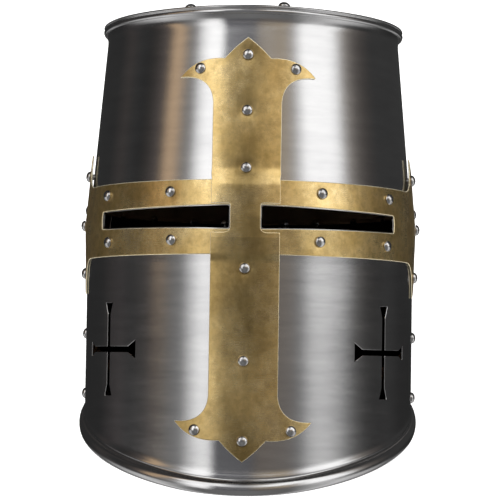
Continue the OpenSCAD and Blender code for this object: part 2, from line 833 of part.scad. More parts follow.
// Running fit of a strap on its rivet
pivot_gap = 0.08;

module strap_hole(side) {
  translate([side * strap_a, 0, 0]) rotate([0, 90, 0])
    translate([0, 0, -10]) cylinder(h = 20, r = shank_r + pivot_gap);
}

bar_z = strap_z_at(bar_x);
loop_r = buckle_r + 0.35;
tongue_w = 2.4;
slot_w = tongue_w + 1.2;
lifts_none = [[-shell_w, 0], [shell_w, 0]];
lift_end = leather_t + 0.5;
lift_fold = loop_r + 1.5 * leather_t + 0.6;
lift_bar = -buckle_r - leather_t / 2 - 0.5;
lifts_hole_side = [
  [-shell_w, lift_end], [-bar_x - 9, lift_end], [-bar_x - 2.5, lift_fold], [-bar_x + 2.5, lift_fold],
  [bar_x - 3, lift_bar], [bar_x + 3, lift_bar], [bar_x + 14, 0], [shell_w, 0]];

module chin_strap_buckle_side() {
  path = strap_path(-strap_a, -bar_x - loop_r, lifts_none);
  color("saddlebrown") at_strap() difference() {
    union() {
      strap_band(path);
      strap_end(-1);
      translate([-bar_x, strap_w / 2, bar_z]) rotate([90, 0, 0])
        cylinder(h = strap_w, r = loop_r + leather_t);
    }
    strap_hole(-1);
    translate([-bar_x, strap_w, bar_z]) rotate([90, 0, 0]) cylinder(h = 2 * strap_w, r = loop_r);
    translate([-bar_x - 5.5, -slot_w / 2, bar_z - 8]) cube([14, slot_w, 20]);
  }
}

pin_x = 0.5;
end_x = -bar_x - 38;
hole_pitch = 14;
punched_holes = 3;

module chin_strap_hole_side() {
  path = strap_path(strap_a, end_x, lifts_hole_side);
  color("saddlebrown") at_strap() difference() {
    union() {
      strap_band(path);
      strap_end(1);
    }
    strap_hole(1);
    for (i = [1:punched_holes]) {
      x = pin_x - i * hole_pitch;
      translate([x, 0, strap_z_at(x) - 5]) cylinder(h = 20, r = 2);
    }
    translate([pin_x - 6, -slot_w / 2, bar_z - 10]) cube([12, slot_w, 20]);
  }
}

keeper_x = -bar_x - 24;

module strap_keeper() {
  in_w = strap_w + 0.8;
  in_h = 2 * leather_t + 1.6;
  wall = 1.8;
  length = 9;
  slope = atan2(strap_z_at(keeper_x + 1) - strap_z_at(keeper_x - 1), 2);
  color("saddlebrown") at_strap()
    translate([keeper_x, 0, strap_z_at(keeper_x) + leather_t / 2 + 0.25]) rotate([0, -slope, 0])
      difference() {
        cube([length, in_w + 2 * wall, in_h + 2 * wall], center = true);
        cube([length + 2, in_w, in_h], center = true);
      }
}

frame_half = strap_w / 2 + 2.5;

module buckle_frame() {
  color("darkgoldenrod") at_strap() {
    for (x = [-bar_x, bar_x]) translate([x, frame_half, bar_z])
      rotate([90, 0, 0]) cylinder(h = 2 * frame_half, r = buckle_r);
    for (y = [-frame_half, frame_half]) translate([-bar_x, y, bar_z]) {
      rotate([0, 90, 0]) cylinder(h = 2 * bar_x, r = buckle_r);
      sphere(buckle_r);
      translate([2 * bar_x, 0, 0]) sphere(buckle_r);
    }
  }
}

// Tongue: an eye round the hinge bar and a prong that crosses the strap to the far bar
module buckle_tongue() {
  eye_gap = 0.08;
  eye_t = 1;
  prong_r = tongue_w / 2;
  rise = buckle_r + prong_r + 0.3;
  run = 2 * bar_x;
  pitch = atan2(rise, run);
  color("darkgoldenrod") at_strap() translate([-bar_x, 0, bar_z]) difference() {
    union() {
      translate([0, tongue_w / 2, 0]) rotate([90, 0, 0])
        cylinder(h = tongue_w, r = buckle_r + eye_gap + eye_t);
      rotate([0, 90 - pitch, 0]) translate([0, 0, buckle_r + eye_gap + 0.4])
        cylinder(h = norm([run, rise]) + 1, r = prong_r);
    }
    translate([0, tongue_w, 0]) rotate([90, 0, 0])
      cylinder(h = 2 * tongue_w, r = buckle_r + eye_gap);
  }
}

stand() crown_plate();
stand() upper_front_plate();
stand() upper_rear_plate();
stand() lower_front_plate();
stand() lower_rear_plate();
stand() cross_upright();
stand() crossbar();
stand() crown_rivets();
stand() upright_rivets();
stand() upright_finial_rivets();
stand() crossbar_upper_rivets();
stand() crossbar_lower_rivets();
stand() side_finial_rivets_left();
stand() side_finial_rivets_right();
stand() upper_seam_rivets_left();
stand() upper_seam_rivets_right();
stand() lower_seam_rivets();
stand() rear_waist_rivets();
stand() strap_rivet_left();
stand() strap_rivet_right();
stand() strap_washers();
stand() liner_band();
stand() liner_tongues();
stand() liner_lace();
chin_strap_buckle_side();
chin_strap_hole_side();
strap_keeper();
buckle_frame();
buckle_tongue();
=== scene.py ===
import math
import random

import bmesh
import bpy
import numpy as np
from mathutils import Matrix, Vector
from mathutils.geometry import delaunay_2d_cdt


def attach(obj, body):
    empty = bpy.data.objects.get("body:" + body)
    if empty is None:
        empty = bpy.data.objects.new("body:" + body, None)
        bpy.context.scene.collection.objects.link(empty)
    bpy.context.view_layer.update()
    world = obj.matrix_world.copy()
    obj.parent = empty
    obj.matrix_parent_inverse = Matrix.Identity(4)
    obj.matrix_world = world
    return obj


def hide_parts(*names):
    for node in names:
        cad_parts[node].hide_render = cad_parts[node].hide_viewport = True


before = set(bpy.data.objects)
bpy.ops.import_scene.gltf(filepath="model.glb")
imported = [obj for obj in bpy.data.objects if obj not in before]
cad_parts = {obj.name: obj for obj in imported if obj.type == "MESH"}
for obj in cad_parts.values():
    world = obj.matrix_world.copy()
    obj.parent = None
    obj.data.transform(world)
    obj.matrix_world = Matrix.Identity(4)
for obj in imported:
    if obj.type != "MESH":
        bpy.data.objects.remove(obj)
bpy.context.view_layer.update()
random.seed(7)

# Sizes of the helm, in millimetres in its own upright frame, as in the CAD source
HALF_W, HALF_L, BROW_R = 110.5, 128.0, 86.0
BROW_C = HALF_L - BROW_R
EAR_R = (BROW_C**2 + HALF_W**2 - BROW_R**2) / (2 * (HALF_W - BROW_R))
EAR_C = EAR_R - HALF_W
TURN = math.degrees(math.atan2(EAR_C, BROW_C))
RAKE, TAPER = 18.0, 5.0
LIP_OUT, LIP_RISE = 3.6, 2.52
STEEL, BRASS, LAP = 1.2, 1.1, 1.3
SIGHT_Z, CROWN_Z, SWELL_Z = 133.0, 268.5, 105.0
LAP_TOP, LAP_BOTTOM, WALL_TOP = 154.0, 112.0, 259.0
SEAM_LOW, SEAM_HIGH = 93.2, 110
SWELL = 0.7
BAR_W, UP_W, NOSE, HORN_TAPER = 47.5, 44.0, 9.7, 4.25
UP_TIP, UP_FOOT, BAR_TIP_Y = 248, -21, 4.5
FINIAL_RIVET, FINIAL_ROW = 30.6, 20
BAR_K, UP_K = BAR_W / 44.4, UP_W / 44.4
SIGHT_IN, SIGHT_OUT, SIGHT_X = 7.75, 5.8, 96
BREATH_AZ, BREATH_Z, STRAP_Z = 57.5, 49, 60
CROWN_EDGE, CROWN_RISE = 5.5, 5 / 32
COS, SIN, TAN = (f(math.radians(RAKE)) for f in (math.cos, math.sin, math.tan))
TAPER_TAN = math.tan(math.radians(TAPER))
FLANGE_Z = CROWN_Z - 1.3
CROWN_OFF = SWELL - (WALL_TOP - SIGHT_Z) * TAPER_TAN - LAP + 3.0
FRONT_Y = -(HALF_L + LIP_OUT) / COS + LIP_RISE * SIN
BACK_Y = (HALF_L + CROWN_OFF) * COS + (CROWN_Z - CROWN_EDGE / 2) * SIN
SHIFT = -(FRONT_Y + BACK_Y) / 2


def stand(p):
    """Upright millimetres to metres as the helm stands."""
    p = np.asarray(p, float)
    x, y, z = p[..., 0], p[..., 1], p[..., 2]
    return np.stack([x, y * COS + z * SIN + SHIFT, z * COS - y * SIN], -1) / 1000


def plan(az, off):
    """Point of the plan that faces azimuth az, moved outwards by off."""
    az, off = np.broadcast_arrays(np.asarray(az, float), np.asarray(off, float))
    a = (az + 180) % 360 - 180
    s, b = np.sign(a), np.abs(a)
    m = np.radians(np.where(b > 90, 180 - b, b))
    brow = m < math.radians(TURN)
    x = np.where(brow, (BROW_R + off) * np.sin(m), (EAR_R + off) * np.sin(m) - EAR_C)
    y = np.where(brow, BROW_C + (BROW_R + off) * np.cos(m), (EAR_R + off) * np.cos(m))
    return x * s, np.where(b > 90, y, -y)


AZ = np.linspace(-180, 180, 7201)
_x, _y = plan(AZ, 0)
ARC = np.concatenate([[0], np.cumsum(np.hypot(np.diff(_x), np.diff(_y)))])
ARC -= np.interp(0, AZ, ARC)
FULL = ARC[-1] - ARC[0]


def az_of(u):
    """Azimuth at length u along the plan."""
    u = np.asarray(u, float)
    turns = np.floor((u - ARC[0]) / FULL)
    return np.interp(u - turns * FULL, ARC, AZ) + 360 * turns


def u_of(az):
    az = np.asarray(az, float)
    turns = np.floor((az + 180) / 360)
    return np.interp(az - 360 * turns, AZ, ARC) + FULL * turns


def az_at_x(x, off):
    """Azimuth at which the plan moved outwards by off reaches x."""
    reach, brow = np.abs(np.asarray(x, float)), BROW_R + off
    front = np.arcsin(np.clip(reach / brow, 0, 1))
    side = np.arcsin(np.clip((reach + EAR_C) / (EAR_R + off), 0, 1))
    return np.sign(x) * np.degrees(np.where(reach < brow * math.sin(math.radians(TURN)), front, side))


def az_at_y(y, off):
    return np.degrees(np.arccos(np.clip(-np.asarray(y, float) / (EAR_R + off), -1, 1)))


def lap_off(z):
    """How far the lower plates, and the line that the upper ones follow, stand out of the plan at height z."""
    z = np.asarray(z, float)
    swelling = SWELL * (z - SWELL_Z) / (SIGHT_Z - SWELL_Z)
    return np.where(z < SWELL_Z, 0, np.where(z < SIGHT_Z, swelling, SWELL - (z - SIGHT_Z) * TAPER_TAN))


def soft(t):
    t = np.clip(t, 0, 1)
    return t * t * (3 - 2 * t)


def points(x, y, z):
    return np.stack(np.broadcast_arrays(x, y, z), -1)


def unit(v):
    return v / np.linalg.norm(v, axis=-1)[..., None]


# Surfaces: (u, z, e) to a point, where e counts outwards from the outer face


def upper_surface(u, z, e):
    top = np.clip((z - WALL_TOP + 4) / (FLANGE_Z - WALL_TOP + 4), 0, 1)
    off = lap_off(np.minimum(z, WALL_TOP)) - LAP + 2.6 * top**2.2
    x, y = plan(az_of(u), off + e)
    return points(x, y, z)


def tucked(az, seam):
    """How far a rear plate steps in where it runs under the front one, next to the seams."""
    within = np.minimum(np.abs(az - seam), np.abs(az - 360 + seam)) * ((az > seam) & (az < 360 - seam))
    return LAP * (1 - soft(within / 0.9))


def upper_rear_surface(u, z, e):
    return upper_surface(u, z, e - tucked(az_of(u), SEAM_HIGH))


# The rolled lip as heights over the rim and how far it stands out, with a faint step above it
ROLL_TURN = np.linspace(0.15, math.pi, 17)
ROLL_H = np.concatenate([4.6 - 4.6 * np.cos(ROLL_TURN), [10.2, 11.2, 12.4, 14]])
ROLL_OFF = np.concatenate([0.3 + 3.3 * np.sin(ROLL_TURN) ** 0.75, [0.55, 0.6, 0.3, 0]])


def lower_surface(u, z, e):
    az = az_of(u)
    x0, y0 = plan(az, 0)
    h = z - y0 * TAN
    roll = np.interp(h, ROLL_H, ROLL_OFF)
    x, y = plan(az, lap_off(z) + roll + e)
    return points(x, y, z + (y - y0) * TAN * (h < 16))


def lower_rear_surface(u, z, e):
    return lower_surface(u, z, e - tucked(az_of(u), SEAM_LOW))


def bar_off(z):
    top = SIGHT_Z + BAR_W / 2
    horn = lap_off(top) - (z - top) * math.tan(math.radians(HORN_TAPER))
    return 0.1 + np.where(z > top, horn, lap_off(z))


def bar_surface(u, z, e):
    x, y = plan(az_of(u), bar_off(z) + BRASS + e)
    return points(x, y, z)


# Heights of the upright's bends and how far its inner face stands out there
UP_Z = np.array([-30, 105.85, 108.65, 133, 157.35, 160.15, 250.0])
UP_OFF = np.array([0.1, 0.12, 1.4, 2.0, -0.13, -2.57, -10.43])
UP_SOFT = np.linspace(-4.5, 4.5, 19)


def upright_surface(u, z, e):
    spread = np.where(np.asarray(z, float) > 140, 1.0, 0.18)
    off = sum(np.interp(z + d * spread, UP_Z, UP_OFF) for d in UP_SOFT) / len(UP_SOFT)
    x, y = plan(az_of(u), off + BRASS + e)
    return points(x, y, z)


# Outlines in (u, z), closed, in millimetres


def bow(a, b, c, n):
    """A curve from a to c, pulled towards b, without a itself."""
    t = np.linspace(0, 1, n + 1)[1:, None]
    return (1 - t) ** 2 * np.array(a) + 2 * t * (1 - t) * np.array(b) + t * t * np.array(c)


def finial_half(k):
    """Half of a finial as [across, down], from its tip to the shaft; k is its size by a shaft of 44.4 mm."""
    tip, neck, point, shaft = [0, 0], [15, 13.6], [44, 25.5], [22.2, 42]
    return np.vstack([[tip], bow(tip, [8.2, 5.9], neck, 5), bow(neck, [34, 12], point, 14),
                      bow(point, [23.5, 24.5], shaft, 14)]) * k


def resample(loop, step):
    """The closed loop with points at most step apart, keeping its corners."""
    out = []
    for i, p in enumerate(loop):
        q = loop[(i + 1) % len(loop)]
        n = max(1, int(math.ceil(np.hypot(*(q - p)) / step)))
        out += [p + (q - p) * k / n for k in range(n)]
    return np.array(out)


def both(half):
    """A closed loop from its right half, which runs from the top to the bottom."""
    return np.vstack([half, (half * [-1, 1])[::-1]])


def tidy_loop(loop, ccw=True):
    """The loop without doubled points: counter-clockwise, or clockwise for a hole."""
    keep = [i for i in range(len(loop)) if np.hypot(*(loop[i] - loop[i - 1])) > 0.05]
    loop = loop[keep]
    area = np.sum(loop[:, 0] * np.roll(loop[:, 1], -1) - loop[:, 1] * np.roll(loop[:, 0], -1))
    return loop if (area > 0) == ccw else loop[::-1]


def crossbar_outline():
    half = finial_half(BAR_K)
    y = BAR_TIP_Y - half[:, 1]
    side = np.vstack([np.column_stack([u_of(az_at_y(y, bar_off(z) + BRASS)), z])[::way]
                      for z, way in ((SIGHT_Z + half[:, 0], -1), (SIGHT_Z - half[:, 0], 1))])
    return resample(tidy_loop(both(side)), 1.6)


def sight_loop(side, inset, off):
    """A sight, wider at the nose than at its outer end, in the face that stands out by off."""
    near, far = SIGHT_IN - inset, SIGHT_OUT - inset
    corners = [[NOSE + inset, SIGHT_Z - near], [SIGHT_X - inset, SIGHT_Z - far],
               [SIGHT_X - inset, SIGHT_Z + far], [NOSE + inset, SIGHT_Z + near]]
    q = resample(tidy_loop(rounded(np.array(corners), 1.3)), 1.6)
    return tidy_loop(np.column_stack([u_of(az_at_x(side * q[:, 0], off)), q[:, 1]]), ccw=False)


def rounded(poly, r, n=4):
    """The polygon with each corner cut back by r and curved."""
    out = []
    for i, p in enumerate(poly):
        a, b = poly[i - 1] - p, poly[(i + 1) % len(poly)] - p
        a, b = p + a / np.hypot(*a) * r, p + b / np.hypot(*b) * r
        t = np.linspace(0, 1, n + 1)[:, None]
        out.append((1 - t) ** 2 * a + 2 * t * (1 - t) * p + t * t * b)
    return np.vstack(out)


def breath_loop(side):
    """A breath cross; the arm that points to the front flares most."""
    arm, neck, straight, flare, front_flare = 30.0, 1.75, 22.8, 4.5, 5.8
    pts = []
    for k, (c, s) in enumerate([(1, 0), (0, 1), (-1, 0), (0, -1)]):
        end = front_flare if k == (1 if side > 0 else 3) else flare
        quarter = np.array([[neck, neck], [neck, straight], [end, arm], [-end, arm], [-neck, straight]])
        pts.append(quarter @ np.array([[c, s], [-s, c]]))
    q = resample(tidy_loop(np.vstack(pts)), 1.4)
    az = side * BREATH_AZ + np.degrees(np.arcsin(q[:, 0] / EAR_R))
    return tidy_loop(np.column_stack([u_of(az), BREATH_Z + q[:, 1]]), ccw=False)


def oval(u, v, across, along):
    """A small hole with the given half sizes."""
    turns = np.arange(16) * math.pi / 8
    return tidy_loop(np.column_stack([u + across * np.cos(turns), v + along * np.sin(turns)]), ccw=False)


def wall_loop(az0, az1, low, high, n=300):
    """Outline of a plate between two azimuths, with low(u) and high as its lower and upper edges."""
    us = np.linspace(u_of(az0), u_of(az1), n)
    edges = [np.column_stack([us, low(us)]), np.column_stack([us[::-1], high(us[::-1])])]
    return tidy_loop(resample(np.vstack(edges), 3.0))


def rim_low(u):
    return plan(az_of(u), 0)[1] * TAN


def level(v):
    return lambda u: np.full(np.shape(u), float(v))


# Mesh builders


def placed(name, data):
    ob = bpy.data.objects.new(name, data)
    bpy.context.scene.collection.objects.link(ob)
    return ob


def new_object(name, verts, faces, body, node=None, normals=None, uvs=None):
    mesh = bpy.data.meshes.new(name)
    mesh.from_pydata([tuple(v) for v in verts], [], faces)
    mesh.update()
    if uvs is not None:
        layer = mesh.uv_layers.new(name="UVMap")
        index = np.zeros(len(mesh.loops), np.int32)
        mesh.loops.foreach_get("vertex_index", index)
        layer.data.foreach_set("uv", np.asarray(uvs, np.float32)[index].ravel())
    mesh.shade_smooth()
    if normals is not None:
        mesh.normals_split_custom_set(normals)
    ob = placed(name, mesh)
    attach(ob, body)
    if node:
        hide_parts(node)
    return ob


def inset_loop(loop, d):
    """The loop moved to its left by d (inwards for a counter-clockwise one)."""
    t = unit(np.roll(loop, -1, 0) - loop)
    n = np.column_stack([-t[:, 1], t[:, 0]])
    m = n + np.roll(n, 1, 0)
    m /= np.maximum(0.45, np.sum(n * m, 1))[:, None]
    return loop + d * m


def inside(pts, loops):
    """Which points lie inside an odd number of the loops."""
    x, y = pts.T
    hit = np.zeros(len(pts), bool)
    for loop in loops:
        for (x0, y0), (x1, y1) in zip(loop, np.roll(loop, -1, 0)):
            if y0 != y1:
                cross = (y > min(y0, y1)) & (y <= max(y0, y1))
                hit ^= cross & (x < x0 + (y - y0) * (x1 - x0) / (y1 - y0))
    return hit


def near_edge(pts, loops, d):
    close = np.zeros(len(pts), bool)
    for p in np.vstack(loops):
        close |= np.hypot(*(pts - p).T) < d
    return close


# Heights of the mesh rows along the lip, and the mesh round a dimple
ROLL_ROWS = (1.0, 1.7, 2.5, 3.4, 4.3, 5.2, 6.1, 6.9, 7.7, 8.4, 9.0, 9.6, 10.4, 11.4, 12.6, 14, 16.5)
HALO = np.vstack([[[r * math.cos(a), r * math.sin(a)] for a in np.arange(n) * 2 * math.pi / n]
                  for r, n in ((2.6, 8), (4.0, 14), (5.2, 16), (6.5, 16), (8.2, 16))])
HALO_OUT = 9.4


def sheet_grid(tops, step, lines, rim, dents):
    """Mesh points inside the outlines."""
    lo, hi = tops[0].min(0), tops[0].max(0)
    us = np.arange(lo[0] + step[0] / 2, hi[0], step[0])
    zs = np.arange(lo[1] + step[1] / 2, hi[1], step[1])
    zs = np.unique(np.concatenate([zs, [v for v in lines if lo[1] < v < hi[1]]]))
    grid = np.array(np.meshgrid(us, zs)).reshape(2, -1).T
    for d in dents:
        grid = grid[np.hypot(*(grid - d[:2]).T) > HALO_OUT]
    grid = grid[inside(grid, tops) & ~near_edge(grid, tops, step[0] * 0.55)]
    if rim:
        grid = grid[grid[:, 1] - rim_low(grid[:, 0]) > 18]
        row_u = np.arange(lo[0] + 1.3, hi[0] - 1, 2.6)
        grid = np.vstack([grid] + [np.column_stack([row_u, rim_low(row_u) + h]) for h in ROLL_ROWS])
    if len(dents):
        halo = np.vstack([HALO + d[:2] for d in dents])
        grid = np.vstack([grid, halo[inside(halo, tops) & ~near_edge(halo, tops, 1.0)]])
    return grid


def sheet_triangles(tops, grid, rim):
    """The meshed points, their triangles and where each outline point went."""
    edges, base = [], 0
    for top in tops:
        edges += [(base + i, base + (i + 1) % len(top)) for i in range(len(top))]
        base += len(top)
    given = np.vstack(tops + [grid])
    flat = given.copy()
    if rim:
        low = rim_low(given[:, 0])
        flat[:, 1] -= low * np.clip((95 - given[:, 1] + low) / 80, 0, 1)
    flat_tops = np.split(flat[:base], np.cumsum([len(top) for top in tops])[:-1])
    out = delaunay_2d_cdt([Vector(p) for p in flat], edges, [], 0, 1e-5)
    first = [origins[0] for origins in out[3]]
    where = {o: i for i, origins in enumerate(out[3]) for o in origins}
    tris = np.array([f for f in out[2] if len(f) == 3])
    wide = np.abs(doubled_area(flat[first], tris)) > 0.01
    tris = tris[wide & inside(flat[first][tris].mean(1), flat_tops)]
    turned_over = doubled_area(given[first], tris) <= 0
    tris[turned_over] = tris[turned_over][:, [0, 2, 1]]
    return given[first], tris, where


def doubled_area(pts, tris):
    a, b, c = (pts[tris[:, k]].T for k in range(3))
    return (b[0] - a[0]) * (c[1] - a[1]) - (b[1] - a[1]) * (c[0] - a[0])


# Marks added to the UV map's second value on cut edges and inner faces, and the limits that tell them apart
EDGE_MARK, INNER_MARK = 7, 14
EDGE_FROM, INNER_FROM = 4.5, 11.0


def sheet(name, loops, surface, thick, body="shell", node=None, step=(3.0, 3.5), chamfer=0.3,
          lines=(), rim=False, dents=(), body_frame=False):
    """A sheet cut to loops in (u, z), laid on surface, with its edges rounded over by chamfer.

    rim adds rows along the rolled lip; dents are [u, z, depth, radius] of the dimples round its rivets;
    body_frame says that surface gives points as the helm stands."""
    tops = [inset_loop(loop, chamfer) for loop in loops]
    pts, tris, where = sheet_triangles(tops, sheet_grid(tops, step, lines, rim, dents), rim)

    def at(q, e):
        e = np.full(len(q), float(e))
        if e[0] > -0.6:
            for d in dents:
                e -= d[2] * np.exp(-((np.hypot(*(q - d[:2]).T) / d[3]) ** 2))
        return surface(q[:, 0], q[:, 1], e)

    du, dz = np.array([0.6, 0]), np.array([0, 1.0])
    norm = unit(np.cross(at(pts + du, 0) - at(pts - du, 0), at(pts + dz, 0) - at(pts - dz, 0)))
    n = len(pts)
    verts = [at(pts, 0), at(pts, -thick)]
    uv = [pts, pts + [0, 100 * INNER_MARK]]
    normals = [norm[t].tolist() for t in tris] + [(-norm[t[::-1]]).tolist() for t in tris]
    faces = [tuple(t) for t in tris.tolist()] + [tuple(i + n for i in t[::-1]) for t in tris.tolist()]
    base, start = 2 * n, 0
    for loop in loops:
        m = len(loop)
        t = unit(np.roll(loop, -1, 0) - np.roll(loop, 1, 0))
        outwards = np.column_stack([t[:, 1], -t[:, 0]])
        side = unit(at(loop + outwards * 0.5, 0) - at(loop, 0))
        verts += [at(loop, -chamfer), at(loop, -thick + chamfer)]
        uv += [loop + [0, 100 * EDGE_MARK], loop + [0, 100 * EDGE_MARK + 1]]
        rim_at = [where[start + i] for i in range(m)]
        up = norm[rim_at]
        for i in range(m):
            j = (i + 1) % m
            p, q, r, s = rim_at[i], rim_at[j], base + i, base + j
            faces += [(p, r, s, q), (r, r + m, s + m, s), (r + m, p + n, q + n, s + m)]
            normals += [[up[i], side[i], side[j], up[j]], [side[i], side[i], side[j], side[j]],
                        [side[i], -up[i], -up[j], side[j]]]
        base += 2 * m
        start += m
    turn = np.eye(3) if body_frame else np.array([[1, 0, 0], [0, COS, SIN], [0, -SIN, COS]])
    split = (np.array([v for f in normals for v in f], float) @ turn.T).tolist()
    verts = np.vstack(verts)
    verts = verts / 1000 if body_frame else stand(verts)
    return new_object(name, verts, faces, body, node, split, np.vstack(uv) / 100)


RING_AZS = np.arange(-180, 180, 1.5)


def row_faces(n, m, closed=True):
    """Faces between n rows of m points that follow each other round; closed also closes each row."""
    return [(i * m + (j + 1) % m, (i + 1) % n * m + (j + 1) % m, (i + 1) % n * m + j, i * m + j)
            for i in range(n) for j in range(m if closed else m - 1)]


def run_along(path):
    """Length along a path at each of its points."""
    return np.concatenate([[0], np.cumsum(np.hypot(*np.diff(path, axis=0).T))])


def ring(name, profile, node, sharp=40):
    """A closed profile swept round the plan: profile(az) is a list of (off, z)."""
    run = run_along(np.array(profile(0), float))
    m, n = len(run), len(RING_AZS)
    verts = []
    for az in RING_AZS:
        prof = np.array(profile(az), float)
        verts.append(np.column_stack([*plan(az, prof[:, 0]), prof[:, 1]]))
    uv = np.column_stack([np.repeat(u_of(RING_AZS), m), np.tile(run, n)]) / 100
    ob = new_object(name, stand(np.vstack(verts)), row_faces(n, m), "shell", node, None, uv)
    return smoothed(ob, sharp)


def fix_normals(ob):
    bm = bmesh.new()
    bm.from_mesh(ob.data)
    bmesh.ops.recalc_face_normals(bm, faces=bm.faces)
    bm.to_mesh(ob.data)
    bm.free()
    return ob


def smoothed(ob, sharp):
    """Faces turned outwards, and edges over the angle sharp kept hard."""
    fix_normals(ob)
    ob.data.set_sharp_from_angle(angle=math.radians(sharp))
    return ob


def on_wall(az, z, off, lean):
    """Matrix of a place on the wall: local +Z points out of it, tilted up by lean."""
    x, y = plan(az, off)
    m = (Matrix.Translation((float(x), float(y), z)) @ Matrix.Rotation(math.radians(az), 4, "Z")
         @ Matrix.Rotation(math.radians(90 - lean), 4, "X"))
    return (Matrix.Diagonal((0.001, 0.001, 0.001, 1)) @ Matrix.Translation((0, SHIFT, 0))
            @ Matrix.Rotation(math.radians(-RAKE), 4, "X") @ m)


def lathe(profile, n):
    """Vertices and faces of (r, z) turned round z; a radius of 0 makes a pole."""
    verts, rows, faces = [], [], []
    for r, z in profile:
        if r == 0:
            rows.append([len(verts)])
            verts.append((0, 0, z))
        else:
            rows.append(list(range(len(verts), len(verts) + n)))
            verts += [(r * math.cos(a), r * math.sin(a), z) for a in np.arange(n) * 2 * math.pi / n]
    for a, b in zip(rows, rows[1:]):
        for k in range(n):
            q = [a[k % len(a)], a[(k + 1) % len(a)], b[(k + 1) % len(b)], b[k % len(b)]]
            faces.append(tuple(dict.fromkeys(q)))
    return verts, faces


HEAD_R, HEAD_H, SHANK_R = 3.75, 2.7, 1.9


def wall_rivets(name, places, grip):
    """Hand-set rivets, each a little different: a domed head, a shank and a clenched end.

    places holds [azimuth, height, off, lean]; grip is the thickness of the sheets that they join."""
    verts, faces = [], []
    for place in places:
        high = HEAD_H + random.uniform(-0.12, 0.12)
        prof = [(0, high + 0.12)] + [(HEAD_R * math.sin(a), 0.12 + high * math.cos(a))
                                     for a in np.linspace(0.12, math.pi / 2 - 0.02, 13)]
        prof += [(HEAD_R - 0.07, 0.1), (HEAD_R - 0.25, 0.0), (SHANK_R, 0.0), (SHANK_R, -grip - 0.05),
                 (2.7, -grip - 0.12), (3.1, -grip - 0.5), (2.9, -grip - 1.05), (2.0, -grip - 1.3),
                 (0, -grip - 1.32)]
        v, f = lathe(prof, 28)
        base = len(verts)
        tilt = Matrix.Rotation(random.uniform(-0.03, 0.03), 4, "X")
        turn = Matrix.Rotation(random.uniform(0, 6.28), 4, "Z")
        verts += [tuple(on_wall(*place) @ tilt @ turn @ Vector(p)) for p in v]
        faces += [tuple(k + base for k in q) for q in f]
    rivet_parts.append(smoothed(new_object(name + "_dressed", verts, faces, "shell", name), 50))


# Plates

steel_parts, rivet_parts, leather_parts, thread_parts = [], [], [], []
LOW_PLATE = {"thick": STEEL, "chamfer": 0.35, "lines": (SWELL_Z, SIGHT_Z), "rim": True}
HIGH_PLATE = {"thick": STEEL, "chamfer": 0.35, "lines": (SIGHT_Z, 255.5, 258.5, 261.5, 264.5)}


def sights(inset, off):
    return [sight_loop(side, inset, off) for side in (1, -1)]


def low_wall(az0, az1):
    return wall_loop(az0, az1, rim_low, level(LAP_TOP))


def high_wall(az0, az1):
    return wall_loop(az0, az1, level(LAP_BOTTOM), level(FLANGE_Z))


steel_parts += [
    sheet("lower_front_dressed",
          [low_wall(-SEAM_LOW, SEAM_LOW)] + sights(0.7, 0.7) + [breath_loop(side) for side in (1, -1)],
          lower_surface, node="lower_front_plate", **LOW_PLATE),
    sheet("lower_rear_dressed", [low_wall(SEAM_LOW + 0.3, 359.7 - SEAM_LOW)], lower_rear_surface,
          node="lower_rear_plate", **LOW_PLATE),
    sheet("upper_front_dressed", [high_wall(-SEAM_HIGH, SEAM_HIGH)] + sights(0.7, -0.6), upper_surface,
          node="upper_front_plate", **HIGH_PLATE),
    sheet("upper_rear_dressed", [high_wall(SEAM_HIGH + 0.3, 359.7 - SEAM_HIGH)], upper_rear_surface,
          node="upper_rear_plate", **HIGH_PLATE)]


def flange_profile(_):
    """Section of the upper plates' flange, the same at every azimuth."""
    fold, width = CROWN_OFF - 1.3, 38
    inner_z = FLANGE_Z + width * CROWN_RISE
    return [(fold - 0.1, FLANGE_Z - 0.2), (fold - 0.6, FLANGE_Z), (fold - width, inner_z),
            (fold - width, inner_z - STEEL), (fold - 2, FLANGE_Z - STEEL)]


# The crown's section as (off, z) from its edge: dished top, groove and bead of the edge, and underside
CROWN_SECTION = np.array([
    (-60, 6.2), (-52, 6.3), (-44, 6.05), (-36, 5.35), (-28, 4.3), (-20, 3.05), (-12, 1.75), (-6, 0.8),
    (-3.0, 0.3), (-1.6, 0.1), (-0.7, -0.1), (-0.15, -0.4), (0.05, -0.8), (0, -1.25), (-0.35, -1.55),
    (-0.8, -1.8), (-0.85, -2.1), (-0.45, -2.4), (0, -2.9), (0.2, -3.6), (0.1, -4.4), (-0.2, -5.1),
    (-0.6, -5.45), (-1.0, -CROWN_EDGE), (-1.25, -5.2), (-1.3, -4.5), (-1.3, -1.5), (-6, -0.4), (-20, 1.85),
    (-36, 4.15), (-52, 5.1), (-60, 5.0)])


def crown():
    """The section swept round the plan, with its top and underside closed towards the middle."""
    m, n = len(CROWN_SECTION), len(RING_AZS)
    offs, zs = CROWN_OFF + CROWN_SECTION[:, 0], CROWN_Z + CROWN_SECTION[:, 1]
    verts = np.vstack([np.column_stack([*plan(az, offs), zs]) for az in RING_AZS])
    faces = row_faces(n, m, closed=False)
    for j, z in ((0, CROWN_Z + 6.2), (m - 1, CROWN_Z + 5.0)):
        outer = verts[j:n * m:m]
        last = [i * m + j for i in range(n)]
        for k, share in enumerate((0.75, 0.5, 0.25)):
            base = len(verts)
            level_z = np.full(n, z - 0.25 * (k + 1))
            verts = np.vstack([verts, np.column_stack([outer[:, :2] * share, level_z])])
            inner = list(range(base, base + n))
            faces += [(last[i], last[(i + 1) % n], inner[(i + 1) % n], inner[i]) for i in range(n)]
            last = inner
        verts = np.vstack([verts, [[0, 0, z - 0.85]]])
        faces += [(last[i], last[(i + 1) % n], len(verts) - 1) for i in range(n)]
    ob = new_object("crown_dressed", stand(verts), faces, "shell", "crown_plate", None, verts[:, :2] / 100)
    return smoothed(ob, 55)


